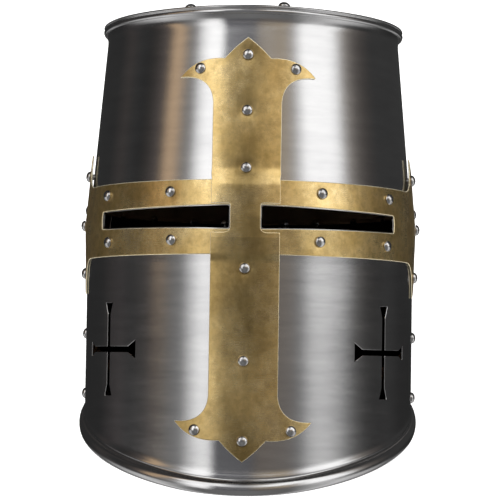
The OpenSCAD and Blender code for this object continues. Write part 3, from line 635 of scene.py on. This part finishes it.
steel_parts += [ring("upper_flange_dressed", flange_profile, None), crown()]

# Brass cross

UP_HI, UP_LO = (236.8, 201, 164.3), (100.7, 42.4, -7.7)
BAR_UP = [(az, 149.2) for az in (-59, -32.3, 32.3, 59)]
BAR_LO = [(az, 118.5) for az in (-57.5, -31.5, 31.5, 57.5)]


def dented(places, depth=0.8, radius=5.0):
    """The dimples round rivets at places, each a little different."""
    return [(float(u_of(az)), z, depth * random.uniform(0.7, 1.2), radius * random.uniform(0.85, 1.15))
            for az, z in places]


bar_brass = sheet("crossbar_dressed", [crossbar_outline()] + sights(0, 1.9), bar_surface, BRASS,
                  node="crossbar", chamfer=BRASS / 2, lines=(SIGHT_Z,),
                  dents=dented(BAR_UP + BAR_LO, 0.45, 4.6))


def notched_upright():
    """The upright's outline, with the inner ends of the sights cut out of its edges."""
    half = finial_half(UP_K)
    w = UP_W / 2
    top = np.column_stack([half[:, 0], UP_TIP - half[:, 1]])
    low = np.column_stack([half[:, 0], UP_FOOT + half[:, 1]])[::-1]
    zi, zo = SIGHT_IN, SIGHT_IN - (w - NOSE) * (SIGHT_IN - SIGHT_OUT) / (SIGHT_X - NOSE)
    notch = np.array([[w, zo + 1.0], [NOSE + 1.3, zi + 0.8], [NOSE + 0.3, zi + 0.3], [NOSE, zi - 0.8],
                      [NOSE, 0.8 - zi], [NOSE + 0.5, -zi - 0.6], [NOSE + 1.8, -zi - 1.6],
                      [NOSE + 4, -zi - 2.1], [w, -zo - 2.3]])
    loop = resample(tidy_loop(both(np.vstack([top, notch + [0, SIGHT_Z], low]))), 1.6)
    off = np.interp(loop[:, 1], UP_Z, UP_OFF) + BRASS
    return np.column_stack([u_of(az_at_x(loop[:, 0], off)), loop[:, 1]])


upright_brass = sheet("upright_dressed", [notched_upright()], upright_surface, BRASS, node="cross_upright",
                      chamfer=BRASS / 2, dents=dented([(0, z) for z in UP_HI + UP_LO]),
                      lines=(105.5, 106.5, 108, 109, SIGHT_Z) + tuple(range(151, 166, 2)))

# Rivets


def horn_az(off):
    return math.degrees(math.asin(FINIAL_RIVET * UP_K / (BROW_R + off)))


up = [(0, z, float(lap_off(z)) - LAP + BRASS, TAPER) for z in UP_HI]
down = [(0, z, float(lap_off(z)) + BRASS, 0) for z in UP_LO]
wall_rivets("upright_rivets", up + down, 2.5)
horn_high, horn_low = UP_TIP - FINIAL_ROW * UP_K, UP_FOOT + FINIAL_ROW * UP_K
off_low = BRASS + 0.1
off_high = float(lap_off(horn_high)) - LAP + off_low
up = [(side * horn_az(off_high), horn_high, off_high, TAPER) for side in (-1, 1)]
down = [(side * horn_az(off_low), horn_low, off_low, 0) for side in (-1, 1)]
wall_rivets("upright_finial_rivets", up + down, 2.5)
wall_rivets("crossbar_upper_rivets", [(az, z, float(lap_off(z)) + 1.15, TAPER) for az, z in BAR_UP], 6.0)
wall_rivets("crossbar_lower_rivets", [(az, z, float(lap_off(z)) + 1.15, -1.4) for az, z in BAR_LO], 3.8)


def side_az(back):
    return 90 + math.degrees(math.asin((BAR_TIP_Y - back * BAR_K) / (EAR_R + BRASS)))


for side, word in ((1, "left"), (-1, "right")):
    across = FINIAL_RIVET * BAR_K
    row = [(FINIAL_ROW, SIGHT_Z + across, HORN_TAPER), (FINIAL_ROW, SIGHT_Z - across, 0), (11.2, SIGHT_Z, 0)]
    wall_rivets("side_finial_rivets_" + word,
                [(side * side_az(back), z, float(bar_off(z)) + BRASS, lean) for back, z, lean in row], 4.0)
    zs = [LAP_TOP + share * (WALL_TOP - LAP_TOP) + 3 for share in (0.2, 0.5, 0.8)]
    wall_rivets("upper_seam_rivets_" + word,
                [(side * 106.8, z, float(lap_off(z)) - LAP, TAPER) for z in zs], 2.6)
    wall_rivets("strap_rivet_" + word, [(side * 90, STRAP_Z, 0, 0)], 7.1)
wall_rivets("lower_seam_rivets", [(side * 90, 19.5, 0, 0) for side in (-1, 1)], 2.7)
waist_azs = (90.5, 116, 132, 148, 164, 180, -164, -148, -132, -116, -90.5)
wall_rivets("rear_waist_rivets", [(az, 144, float(lap_off(144)), TAPER) for az in waist_azs], 5.0)


def facing(d, off):
    """Azimuth of the plan's point that lies in direction d from the helm's middle."""
    azs = np.linspace(0, 179.9, 3600)
    x, y = plan(azs, off)
    return math.copysign(float(np.interp(abs(d), np.degrees(np.arctan2(x, -y)), azs)), d)


crown_row, crown_lean = CROWN_OFF - 32, 90 - math.degrees(math.atan(CROWN_RISE))
crown_turns = [(15 + 45 * i + 180) % 360 - 180 for i in range(8)]
wall_rivets("crown_rivets",
            [(facing(d, crown_row), CROWN_Z + 5.0, crown_row, crown_lean) for d in crown_turns], 2.75)

# Liner

T = 2.2
BAND_Z, BAND_H = SIGHT_Z + 10, 28.0
TONGUES, MM_PER_DEGREE, LACE_SHARE = 8, 1.2, 0.38

# Rows of a tongue from the band to its tip: share of the plan, height over the band, lean in degrees
ROWS = np.array([[1, 17, 0], [1, 27, 4], [0.95, 46, 20], [0.84, 65, 40], [0.66, 80, 58], [0.46, 88, 78],
                 [0.31, 90, 88]])
ROW_T = np.linspace(0, 6, 61)
ROW_FINE = np.column_stack([np.interp(ROW_T, range(7), ROWS[:, k]) for k in range(3)])
for _ in range(12):
    ROW_FINE[1:-1] = (ROW_FINE[:-2] + 2 * ROW_FINE[1:-1] + ROW_FINE[2:]) / 4
ROW_LEN = run_along(ROW_FINE[:, :2] * [100, 1])
TIP = ROW_LEN[-1]


def padded(q):
    """With one more value past each end, in line with the last two."""
    return np.concatenate([2 * q[:1] - q[1:2], q, 2 * q[-1:] - q[-2:-1]])


ROW_FINE, ROW_T, ROW_LEN = padded(ROW_FINE), padded(ROW_T), padded(ROW_LEN)


def liner_off(z):
    return lap_off(z) - LAP - STEEL - 0.1


def band_profile(az):
    """Section of the band, thinned where the upper plates lap and grooved near both edges."""
    skive = LAP if 101 < abs(az) < 113 else 0
    low, high = float(liner_off(BAND_Z)), float(liner_off(BAND_Z + BAND_H))
    section = [(skive, 0.4), (skive, 27.6), (skive + 0.4, 28), (T - 0.5, 28), (T, 27.5), (T, 25.6),
               (T - 0.25, 25.2), (T, 24.8), (T, 3.2), (T - 0.25, 2.8), (T, 2.4), (T, 0.5), (T - 0.5, 0),
               (skive + 0.4, 0)]
    return [(np.interp(z, [0, BAND_H], [low, high]) - e, BAND_Z + z) for e, z in section]


leather_parts.append(ring("liner_band_dressed", band_profile, "liner_band", 50))


def tongue_surface(mid):
    """Surface of the tongue at azimuth mid: u across it, v along it from the band."""
    def surface(u, v, e):
        share, rise, lean = (np.interp(v, ROW_LEN, ROW_FINE[:, k]) for k in range(3))
        z = BAND_Z + rise
        sag = 0.9 * np.sin(np.pi * np.clip(v / TIP, 0, 1)) * (1 - (u / 24) ** 2)
        off = liner_off(np.minimum(z, BAND_Z + BAND_H)) - T - 0.15 + e * np.cos(np.radians(lean))
        x, y = plan(mid + u / MM_PER_DEGREE, off)
        return points(x * share, y * share, z + (e - sag) * np.sin(np.radians(lean)))
    return surface


def stitches(name, spots, body, r=0.4, length=2.6):
    """Short threads: spots are [middle, direction, normal]."""
    verts, faces = [], []
    for mid, along, up in spots:
        along, up = unit(along), unit(up)
        side = np.cross(along, up)
        base = len(verts)
        for t, k, sunk in ((-0.5, 0.3, 0.35), (-0.32, 1, 0), (0.32, 1, 0), (0.5, 0.3, 0.35)):
            verts += [mid + along * t * length + r * k * (math.cos(a) * side + math.sin(a) * up) - up * sunk
                      for a in np.arange(6) * math.pi / 3]
        for i in range(base, base + 18, 6):
            faces += [(i + j, i + (j + 1) % 6, i + 6 + (j + 1) % 6, i + 6 + j) for j in range(6)]
        faces += [tuple(base + j for j in range(5, -1, -1)), tuple(base + 18 + j for j in range(6))]
    return fix_normals(new_object(name, np.array(verts) / 1000, faces, body))


def turned(v):
    """Directions in the upright frame as the helm stands."""
    return np.array([v[..., 0], v[..., 1] * COS + v[..., 2] * SIN, v[..., 2] * COS - v[..., 1] * SIN]).T


def tongue_loops():
    """Outline of a tongue and its two lace holes."""
    vs = np.linspace(0, TIP, 40)
    half = 19.35 * (1 - 0.28 * np.interp(vs, ROW_LEN, ROW_T) / 6) * MM_PER_DEGREE
    edge = np.column_stack([half, vs])
    edge[-3:, 0] -= [0.4, 1.6, 4.0]
    edge[:2, 0] -= [1.6, 0.2]
    hole_v = float(np.interp(-LACE_SHARE, -ROW_FINE[:, 0], ROW_LEN))
    return [resample(tidy_loop(both(edge)), 2.4)] + [oval(side * 9.0, hole_v, 3.4, 2.2) for side in (-1, 1)]


def tongue_seam(surf, v):
    """Spots of the stitches that hold a tongue to the band."""
    us = np.arange(-20.4, 20.5, 3.4)
    vs = np.full(len(us), v)

    def at(d, e):
        return surf(us + d, vs, np.full(len(us), e))

    along, up = turned(at(0.5, -T) - at(-0.5, -T)), turned(at(0, -T - 1) - at(0, -T))
    return list(zip(stand(at(0, -T - 0.1)) * 1000, along, up))


seam = []
for i in range(TONGUES):
    surf = tongue_surface((i + 0.5) * 360 / TONGUES - 180)
    leather_parts.append(sheet("liner_tongue_%d" % (i + 1), tongue_loops(), surf, T, node="liner_tongues",
                               chamfer=0.5))
    seam += tongue_seam(surf, 3.2) + tongue_seam(surf, 7.6)
thread_parts.append(stitches("liner_stitches", seam, "shell"))


def closed_tube(name, path, r, node, sides=12):
    n = len(path)
    t = unit(np.roll(path, -1, 0) - np.roll(path, 1, 0))
    side = unit(np.cross(t, [0, 0, 1.0]))
    up = np.cross(side, t)
    verts = [path[i] + r * (math.cos(a) * side[i] + math.sin(a) * up[i])
             for i in range(n) for a in np.arange(sides) * 2 * math.pi / sides]
    return fix_normals(new_object(name, stand(np.array(verts)), row_faces(n, sides), "shell", node))


def lace_path():
    """The lace weaves up and down through the tongues' holes."""
    az = np.arange(384) * 360 / 384 - 180
    x, y = plan(az, float(liner_off(BAND_Z + BAND_H)) - T)
    wave = 3.4 * np.clip(3 * (-np.cos(np.radians(TONGUES * az)) - 0.5), -1, 1)
    for _ in range(3):
        wave = (np.roll(wave, 1) + 2 * wave + np.roll(wave, -1)) / 4
    return np.column_stack([x * LACE_SHARE, y * LACE_SHARE, BAND_Z + 89.3 - T / 2 + wave])


lace_ob = closed_tube("liner_lace_dressed", lace_path(), 1.5, "liner_lace")

# Chin strap, in the frame as the helm stands; its path is [x, height] from the two rivets' level

RIVET_X, BAR_X, FAR, TAB = 105.8, 10.0, 220, 11
HALF_STRAP, WRAP_R, GROOVE = 10, 2.95, 8.2
PIVOT_Y, PIVOT_Z = STRAP_Z * SIN + SHIFT, STRAP_Z * COS
STRAP = {"thick": T, "body": "chin_strap", "chamfer": 0.5, "body_frame": True,
         "lines": (-8.8, -GROOVE, -7.6, 7.6, GROOVE, 8.8)}


def strap_z_at(x):
    return -9 - 33 * np.sqrt(np.clip(1 - np.asarray(x, float) ** 2 / RIVET_X**2, 0, 1))


def strap_line(x0, x1, lifts, n=160):
    """The hanging curve from x0 to x1, raised by lifts, each [x, height]."""
    x = RIVET_X * np.cos(np.linspace(math.acos(x0 / RIVET_X), math.acos(x1 / RIVET_X), n))
    z = strap_z_at(x) + np.interp(x, *np.array(lifts).T)
    for _ in range(4):
        z[1:-1] = (z[:-2] + 2 * z[1:-1] + z[2:]) / 4
    return np.column_stack([x, z])


def strap_surface(path):
    """Surface along the path, carried on in line past its ends, and the length at each of its points."""
    run = run_along(path)

    def surface(u, v, e):
        d = 0.35
        mid = np.clip(u, d, run[-1] - d)
        past = u - np.clip(u, 0, run[-1])
        t = [np.interp(mid + d, run, path[:, k]) - np.interp(mid - d, run, path[:, k]) for k in (0, 1)]
        p = [np.interp(u, run, path[:, k]) + past * t[k] / (2 * d) for k in (0, 1)]
        size = np.hypot(*t)
        h = T / 2 + e - 0.25 * np.exp(-(((np.abs(v) - GROOVE) / 0.5) ** 2)) * (np.abs(e) < 0.1)
        return points(p[0] - t[1] / size * h, PIVOT_Y + v, PIVOT_Z + p[1] + t[0] / size * h)
    return surface, run


def slot_loop(u0, u1, w):
    ends = np.linspace(-math.pi / 2, math.pi / 2, 7)
    right = [[u1 - w + w * math.cos(a), w * math.sin(a)] for a in ends]
    left = [[u0 + w - w * math.cos(a), -w * math.sin(a)] for a in ends]
    return tidy_loop(resample(np.array(right + left), 1.4), ccw=False)


def tab_end(u, way):
    """Half circle round a rivet at u, from one edge of the strap to the other."""
    reach = way * HALF_STRAP
    return [[u + reach * math.sin(a), -reach * math.cos(a)] for a in np.linspace(0, math.pi, 17)]


def loop_under(x):
    """Height of the strap's end that is folded back under itself, stitched beside the bar."""
    return float(strap_z_at(x)) - 2.45 - 0.5 * math.exp(-(((x + BAR_X) / 2.5) ** 2))


bar_z = float(strap_z_at(BAR_X))
over = strap_line(-RIVET_X, -BAR_X - 0.2, [(-FAR, 0), (-BAR_X - 9, 0), (-BAR_X, WRAP_R), (FAR, WRAP_R)])
wrap = [[-BAR_X + WRAP_R * math.cos(a), bar_z + WRAP_R * math.sin(a)]
        for a in np.radians(np.arange(84, -97, -6))]
back = [[x, loop_under(x)] for x in np.arange(-BAR_X - 2, -BAR_X - 21, -1)]
surf, run = strap_surface(np.vstack([[[-RIVET_X, TAB]], over, wrap, back]))
u_in, u_out, end = run[len(over)], run[1 + len(over) + len(wrap)], run[-1]
outline = np.array(tab_end(TAB, -1) + [[end - 1, -HALF_STRAP], [end, -9], [end, 9], [end - 1, HALF_STRAP]])
buckle_side = sheet("strap_buckle_side_dressed",
                    [resample(tidy_loop(outline), 1.6), oval(TAB, 0, 2.1, 2.1),
                     slot_loop(u_in - 5, u_out + 5, 1.8)],
                    surf, node="chin_strap_buckle_side", step=(1.1, 2.5), **STRAP)


def strap_stitch(surf, u, v, lengthwise):
    def at(u, e):
        return surf(*np.array([[u], [v], [e]], float))[0]

    along = at(u + 0.5, 0) - at(u - 0.5, 0) if lengthwise else np.array([0, 1.0, 0])
    return at(u, 0.05), along, at(u, 1) - at(u, 0.05)


spots = [strap_stitch(surf, u, v, True) for v in (-7, 7) for u in np.arange(u_in - 19, u_in - 9, 3.2)]
spots += [strap_stitch(surf, u_in - 19.5, v, False) for v in np.arange(-4.8, 5, 3.2)]
thread_parts.append(stitches("strap_stitches", spots, "chin_strap"))

lifts = [(-FAR, 2.7), (-BAR_X - 9, 2.7), (-BAR_X - 2.5, 5.75), (-BAR_X + 2.5, 5.75), (BAR_X - 3, -3.1),
         (BAR_X + 3, -3.1), (BAR_X + 14, 0), (FAR, 0)]
line = strap_line(-BAR_X - 38, RIVET_X, lifts, 220)
surf, run = strap_surface(np.vstack([line, [[RIVET_X, TAB]]]))
end = run[-1] - TAB


def u_at(x):
    return float(np.interp(x, line[:, 0], run[:-1]))


tip = [[0, -1.2], [1.2, -4], [4, -7.4], [8.5, -HALF_STRAP]]
outline = np.array(tip + tab_end(end, 1) + [[u, -v] for u, v in tip[::-1]])
hole_side = sheet("strap_hole_side_dressed",
                  [resample(tidy_loop(outline), 1.6), oval(end, 0, 2.1, 2.1),
                   slot_loop(u_at(-5.5), u_at(6.5), 1.8)]
                  + [oval(u_at(0.5 - 14 * i), 0, 2, 2) for i in (1, 2, 3)],
                  surf, node="chin_strap_hole_side", step=(1.4, 2.5), **STRAP)

# Materials


def new_material(name):
    mat = bpy.data.materials.new(name)
    mat.use_nodes = True
    return mat, mat.node_tree.nodes, mat.node_tree.nodes["Principled BSDF"]


def put(node, values):
    """Link or set a node's inputs: values holds a socket, number or colour for each name or place."""
    for key, v in values.items():
        if isinstance(v, bpy.types.NodeSocket):
            node.id_data.links.new(v, node.inputs[key])
        else:
            node.inputs[key].default_value = (*v, 1) if isinstance(v, tuple) else v


def calc(N, op, *terms):
    m = N.new("ShaderNodeMath")
    m.operation = op
    put(m, dict(enumerate(terms)))
    return m.outputs[0]


def noise(N, coord, scale, stretch=(1, 1, 1), detail=4.0, rough=0.55):
    m = N.new("ShaderNodeMapping")
    m.inputs["Scale"].default_value = stretch
    put(m, {"Vector": coord})
    t = N.new("ShaderNodeTexNoise")
    put(t, {"Scale": scale, "Detail": detail, "Roughness": rough, "Vector": m.outputs[0]})
    return t.outputs["Fac"]


def ramp(N, fac, stops):
    r = N.new("ShaderNodeValToRGB")
    while len(r.color_ramp.elements) < len(stops):
        r.color_ramp.elements.new(0.5)
    for e, (p, c) in zip(r.color_ramp.elements, stops):
        e.position = p
        e.color = (*c, 1) if isinstance(c, tuple) else (c, c, c, 1)
    put(r, {0: fac})
    return r.outputs[0]


def mix(N, fac, a, b, mode="MIX"):
    m = N.new("ShaderNodeMix")
    m.data_type, m.blend_type = "RGBA", mode
    put(m, {0: fac, 6: a, 7: b})
    return m.outputs[2]


def bump(N, height, strength, distance, under=None):
    b = N.new("ShaderNodeBump")
    put(b, {"Strength": strength, "Distance": distance, "Height": height})
    if under is not None:
        put(b, {"Normal": under})
    return b.outputs[0]


def object_coords(N):
    return N.new("ShaderNodeTexCoord").outputs["Object"]


def uv_coords(N):
    """The UV map and its two values."""
    uv = N.new("ShaderNodeUVMap").outputs[0]
    split = N.new("ShaderNodeSeparateXYZ")
    put(split, {0: uv})
    return uv, split.outputs[0], split.outputs[1]


def steel_material():
    """Brushed steel, with painted shade on the inner faces: near black and dull."""
    mat, N, P = new_material("steel_plate")
    obj = object_coords(N)
    uv, _, v = uv_coords(N)
    dark, light = (0.56, 0.555, 0.56), (0.72, 0.715, 0.71)
    fine = noise(N, uv, 60, (0.12, 9, 1), 6, 0.7)
    cloud = noise(N, obj, 22, detail=5)
    smear = noise(N, uv, 6, (0.35, 2.2, 1), 4)
    tone = mix(N, 0.35, ramp(N, smear, [(0.25, dark), (0.75, light)]),
               ramp(N, cloud, [(0.3, dark), (0.7, light)]))
    # Painted shade of the helm's inside: the inner faces are near black, with a faint brown.
    inner_shade = ramp(N, cloud, [(0.3, (0.035, 0.03, 0.027)), (0.7, (0.07, 0.06, 0.05))])
    dull = ramp(N, mix(N, 0.5, fine, smear), [(0.3, 0.1), (0.7, 0.16)])
    within = calc(N, "GREATER_THAN", v, INNER_FROM)
    waves = bump(N, noise(N, obj, 9, detail=2), 0.12, 0.004)
    brushed = N.new("ShaderNodeTangent")
    brushed.direction_type, brushed.uv_map = "UV_MAP", "UVMap"
    put(P, {"Metallic": 1, "Anisotropic": 0.75, "Anisotropic Rotation": 0.25, "Tangent": brushed.outputs[0],
            "Base Color": mix(N, within, tone, inner_shade), "Roughness": mix(N, within, dull, (0.75, 0.75, 0.75)),
            "Normal": bump(N, fine, 0.05, 0.0006, waves)})
    return mat


def brass_material(name, middle=0.0):
    """Old brass; middle is how strongly the middle of a strip is stained. Where middle is set, the strip is
    also darker below 120 mm, most near 80 mm.
    """
    mat, N, P = new_material(name)
    obj = object_coords(N)
    uv, u, v = uv_coords(N)
    blotch = noise(N, obj, 24, detail=7, rough=0.66)
    stain = noise(N, obj, 60, detail=5, rough=0.7)
    speck = noise(N, obj, 220, detail=3, rough=0.7)
    scratch = noise(N, uv, 46, (7, 0.22, 1), 5, 0.78)
    fine = noise(N, uv, 70, (0.2, 8, 1), 5, 0.75)
    tone = ramp(N, blotch, [(0.3, (0.6, 0.4, 0.13)), (0.43, (0.82, 0.58, 0.23)), (0.56, (0.94, 0.7, 0.32)),
                            (0.75, (0.98, 0.79, 0.45))])
    tone = mix(N, ramp(N, stain, [(0.36, 0.4), (0.52, 0.0)]), tone, (0.45, 0.29, 0.1))
    tone = mix(N, ramp(N, speck, [(0.33, 0.3), (0.55, 0.0)]), tone, (0.33, 0.21, 0.07))
    tone = mix(N, ramp(N, scratch, [(0.56, 0.0), (0.72, 0.35)]), tone, (0.98, 0.82, 0.5))
    if middle:
        patch = ramp(N, noise(N, uv, 1.6, (1.6, 0.7, 1), 5, 0.62), [(0.4, 0.0), (0.6, middle)])
        strip = ramp(N, calc(N, "ABSOLUTE", u), [(0.03, 1.0), (0.13, 0.5), (0.19, 0.0)])
        tone = mix(N, mix(N, 1.0, patch, strip, "MULTIPLY"), tone, (0.36, 0.25, 0.09))
        # Darker below 120 mm, most near 80 mm and not at all near 28 mm.
        low = ramp(N, v, [(0.0, 0.86), (0.28, 1.0), (0.5, 0.86), (0.8, 0.72), (0.999, 0.8)])
        tone = mix(N, calc(N, "LESS_THAN", v, 1.2), tone, mix(N, 1.0, tone, low, "MULTIPLY"))
    # Cut edges: pale bare brass, made part diffuse as a painted highlight that keeps them bright from every
    # side.
    edge = calc(N, "GREATER_THAN", v, EDGE_FROM)
    waves = bump(N, noise(N, obj, 16, detail=3), 0.3, 0.004)
    put(P, {"Base Color": mix(N, edge, tone, (1.0, 0.9, 0.64)),
            "Metallic": mix(N, edge, (0.96, 0.96, 0.96), (0.45, 0.45, 0.45)),
            "Roughness": ramp(N, mix(N, 0.45, blotch, fine), [(0.3, 0.4), (0.7, 0.2)]),
            "Normal": bump(N, mix(N, 0.5, speck, scratch), 0.12, 0.0006, waves)})
    return mat


def rivet_material():
    mat, N, P = new_material("rivet_steel")
    obj = object_coords(N)
    cloud = noise(N, obj, 160, detail=4)
    put(P, {"Metallic": 1,
            "Base Color": ramp(N, cloud, [(0.3, (0.5, 0.49, 0.49)), (0.7, (0.78, 0.77, 0.76))]),
            "Roughness": ramp(N, cloud, [(0.3, 0.2), (0.7, 0.1)]),
            "Normal": bump(N, noise(N, obj, 260, detail=2), 0.25, 0.0008)})
    return mat


def leather_material(name, dark, light):
    mat, N, P = new_material(name)
    obj = object_coords(N)
    grain = N.new("ShaderNodeTexVoronoi")
    grain.feature = "DISTANCE_TO_EDGE"
    put(grain, {"Scale": 700, "Vector": obj})
    cloud = noise(N, obj, 30, detail=6, rough=0.6)
    put(P, {"Base Color": ramp(N, cloud, [(0.3, dark), (0.7, light)]),
            "Roughness": ramp(N, cloud, [(0.3, 0.72), (0.7, 0.5)]),
            "Normal": bump(N, grain.outputs["Distance"], 0.35, 0.0006, bump(N, cloud, 0.3, 0.002))})
    return mat


def paint(ob, mat):
    ob.data.materials.clear()
    ob.data.materials.append(mat)


def dress(objs, mat):
    for ob in objs:
        paint(ob, mat)


brass, rivet = brass_material("brass_sheet"), rivet_material()
liner = leather_material("liner_leather", (0.2, 0.115, 0.06), (0.36, 0.225, 0.13))
lace = leather_material("lace_leather", (0.33, 0.22, 0.12), (0.5, 0.36, 0.22))
strap = leather_material("strap_leather", (0.07, 0.035, 0.018), (0.16, 0.085, 0.045))
dress(steel_parts, steel_material())
dress([bar_brass], brass)
dress([upright_brass], brass_material("brass_upright", 0.9))
dress(rivet_parts, rivet)
dress(leather_parts, liner)
dress([lace_ob], lace)
dress([buckle_side, hole_side], strap)
dress(thread_parts, lace)
for node, mat in (("strap_washers", rivet), ("strap_keeper", strap), ("buckle_frame", brass),
                  ("buckle_tongue", brass)):
    paint(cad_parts[node], mat)

# Studio: pale floor and backdrop, and an environment that holds the soft boxes the steel mirrors


def stage_piece(name, verts, faces, material, values):
    """A piece of the studio that the helm doesn't mirror."""
    mesh = bpy.data.meshes.new(name)
    mesh.from_pydata(verts, [], faces)
    ob = placed(name, mesh)
    ob.visible_glossy = False
    mat, _, P = new_material(material)
    put(P, values)
    mesh.materials.append(mat)
    return ob


def circle(n, across, along, middle, z):
    """Points round a level ellipse, from its front."""
    return [(across * math.sin(a), middle - along * math.cos(a), z) for a in np.arange(n) * 2 * math.pi / n]


def studio():
    half, wall_r, wall_top, n = 30, 25, 30, 64
    white = {"Emission Color": (1, 1, 1)}
    floor = stage_piece("floor", [(-half, -half, 0), (half, -half, 0), (half, half, 0), (-half, half, 0)],
                        [(0, 1, 2, 3)], "pale_floor",
                        {"Base Color": (0.9, 0.9, 0.9), "Roughness": 0.9, "Emission Strength": 0.75, **white})
    rings = circle(n, wall_r, wall_r, 0, -0.5) + circle(n, wall_r, wall_r, 0, wall_top)
    wall = stage_piece("backdrop", rings, [(k, (k + 1) % n, n + (k + 1) % n, n + k) for k in range(n)],
                       "pale_wall", {"Base Color": (0, 0, 0), "Emission Strength": 1.0, **white})
    wall.visible_diffuse = wall.visible_shadow = False
    shade = stage_piece("shade", circle(48, 0.1103, 0.1336, -0.029, 0.0004), [tuple(range(48))], "dark_shade",
                        {"Base Color": (0.01, 0.01, 0.01), "Roughness": 1.0, "Specular IOR Level": 0.0})
    shade.visible_glossy = True


studio()

# Environment as [azimuth seen from the helm, where 0 is its front, and tone or colour] for what the upper
# plates, the lower plates and the faces that look down mirror
HIGH = [(-180, 0.03), (-131, 0.034), (-118, (0.058, 0.052, 0.05)), (-109, 0.042), (-101, 0.034),
        (-95, (0.05, 0.046, 0.043)), (-87, (0.11, 0.095, 0.09)), (-83, (0.26, 0.2, 0.15)),
        (-80.5, (0.66, 0.47, 0.3)), (-74, (0.64, 0.46, 0.3)), (-71, (0.27, 0.25, 0.23)),
        (-63, (0.38, 0.37, 0.36)), (-59, 0.7), (-54, 1.15), (-46, 1.5), (-31.5, 1.45),
        (-29, (0.15, 0.15, 0.165)), (4, (0.13, 0.13, 0.14)),
        (14, (0.3, 0.25, 0.19)), (38, (0.42, 0.35, 0.26)), (48, (0.5, 0.47, 0.44)), (55, 0.95), (62, 1.45),
        (83, 1.45), (87.5, 0.85), (91, (0.42, 0.39, 0.36)), (98.5, (0.16, 0.145, 0.135)),
        (107, (0.08, 0.072, 0.068)), (116, 0.05), (180, 0.04)]
LOW = [(-180, 0.02), (-127, 0.03), (-107, (0.062, 0.056, 0.056)), (-96, 0.045), (-86, (0.056, 0.052, 0.05)),
       (-78, (0.09, 0.08, 0.075)), (-72, (0.14, 0.13, 0.12)), (-65, 0.2), (-58, 0.3), (-49, 0.8), (-41, 1.25),
       (-31, 1.2), (-27, (0.14, 0.14, 0.15)), (6, (0.11, 0.11, 0.12)), (12, (0.15, 0.125, 0.105)),
       (41, (0.19, 0.175, 0.165)), (50, 0.23), (58, 0.47), (65, 0.7), (71, 0.63), (77, 0.46), (83, 0.25),
       (90, 0.11), (97, 0.056), (104, 0.038), (121, 0.046), (136, 0.03), (180, 0.02)]
UNDER = [(0, 0.2), (40, 0.16), (62, 0.5), (80, 0.8), (108, 0.45), (125, 0.1), (150, 0.35), (180, 0.6)]
UNDER = [(-a, c) for a, c in UNDER[:0:-1]] + UNDER


def environment():
    world = bpy.data.worlds.new("studio")
    bpy.context.scene.world = world
    world.use_nodes = True
    N = world.node_tree.nodes
    split = N.new("ShaderNodeSeparateXYZ")
    put(split, {0: N.new("ShaderNodeTexCoord").outputs["Generated"]})
    x, y, z = split.outputs
    back = calc(N, "MULTIPLY", y, -1.0)
    turn = calc(N, "ADD", calc(N, "DIVIDE", calc(N, "ARCTAN2", x, back), 2 * math.pi), 0.5)
    high, low, under = (ramp(N, turn, [((a + 180) / 360, c) for a, c in table])
                        for table in (HIGH, LOW, UNDER))
    flat = calc(N, "SQRT", calc(N, "ADD", calc(N, "MULTIPLY", x, x), calc(N, "MULTIPLY", y, y)))
    frontal = calc(N, "DIVIDE", back, flat)
    lift = calc(N, "SUBTRACT", z, calc(N, "MULTIPLY_ADD", frontal, 0.3475, 0.0887))
    upper = calc(N, "MULTIPLY_ADD", lift, 10.0, 0.5)
    over = calc(N, "MULTIPLY_ADD", lift, 9.0, 2.6)
    upper.node.use_clamp = over.node.use_clamp = True
    color = mix(N, over, under, mix(N, upper, low, high))
    glow = calc(N, "MULTIPLY", ramp(N, upper, [(0.15, 0.0), (0.4, 1.0), (0.6, 1.0), (0.8, 0.0)]),
                ramp(N, frontal, [(0.86, 0.0), (0.96, 0.55)]))
    color = mix(N, glow, color, (0.62, 0.6, 0.58))
    box = calc(N, "MULTIPLY", ramp(N, z, [(0.6, 0.0), (0.65, 1.0), (0.86, 1.0), (0.92, 0.0)]),
               ramp(N, frontal, [(0.2, 0.0), (0.35, 1.0), (0.9, 1.0), (1.0, 0.35)]))
    zenith = ramp(N, z, [(0.0, 1.0), (0.88, 1.0), (0.95, 0.45)])
    put(N["Background"], {0: mix(N, box, mix(N, 1.0, color, zenith, "MULTIPLY"), (1.3, 1.3, 1.3))})


environment()


def area(name, loc, target_z, size, power):
    """A square light that looks at the helm's axis and isn't mirrored."""
    data = bpy.data.lights.new(name, "AREA")
    data.shape, data.size, data.size_y = "RECTANGLE", size, size
    data.energy = power
    ob = placed(name, data)
    ob.location = loc
    ob.rotation_euler = (Vector((0, 0, target_z)) - Vector(loc)).to_track_quat("-Z", "Y").to_euler()
    ob.visible_glossy = False


area("key", (-1.1, -1.6, 1.9), 0.15, 1.0, 26)
area("fill", (1.5, -1.2, 1.4), 0.15, 1.2, 14)
area("top", (0, 0.3, 2.4), 0, 2.0, 26)

camera = placed("camera", bpy.data.cameras.new("camera"))
camera.data.sensor_width = 36
camera.data.lens = 169.55
camera.data.clip_start = 0.05
camera.data.clip_end = 200
camera.location = (0.042, -1.543231, 0.53205)
camera.rotation_euler = [math.radians(a) for a in (74.87354, -0.3655, 1.65568)]
bpy.context.scene.camera = camera
bpy.context.scene.view_settings.view_transform = "Standard"
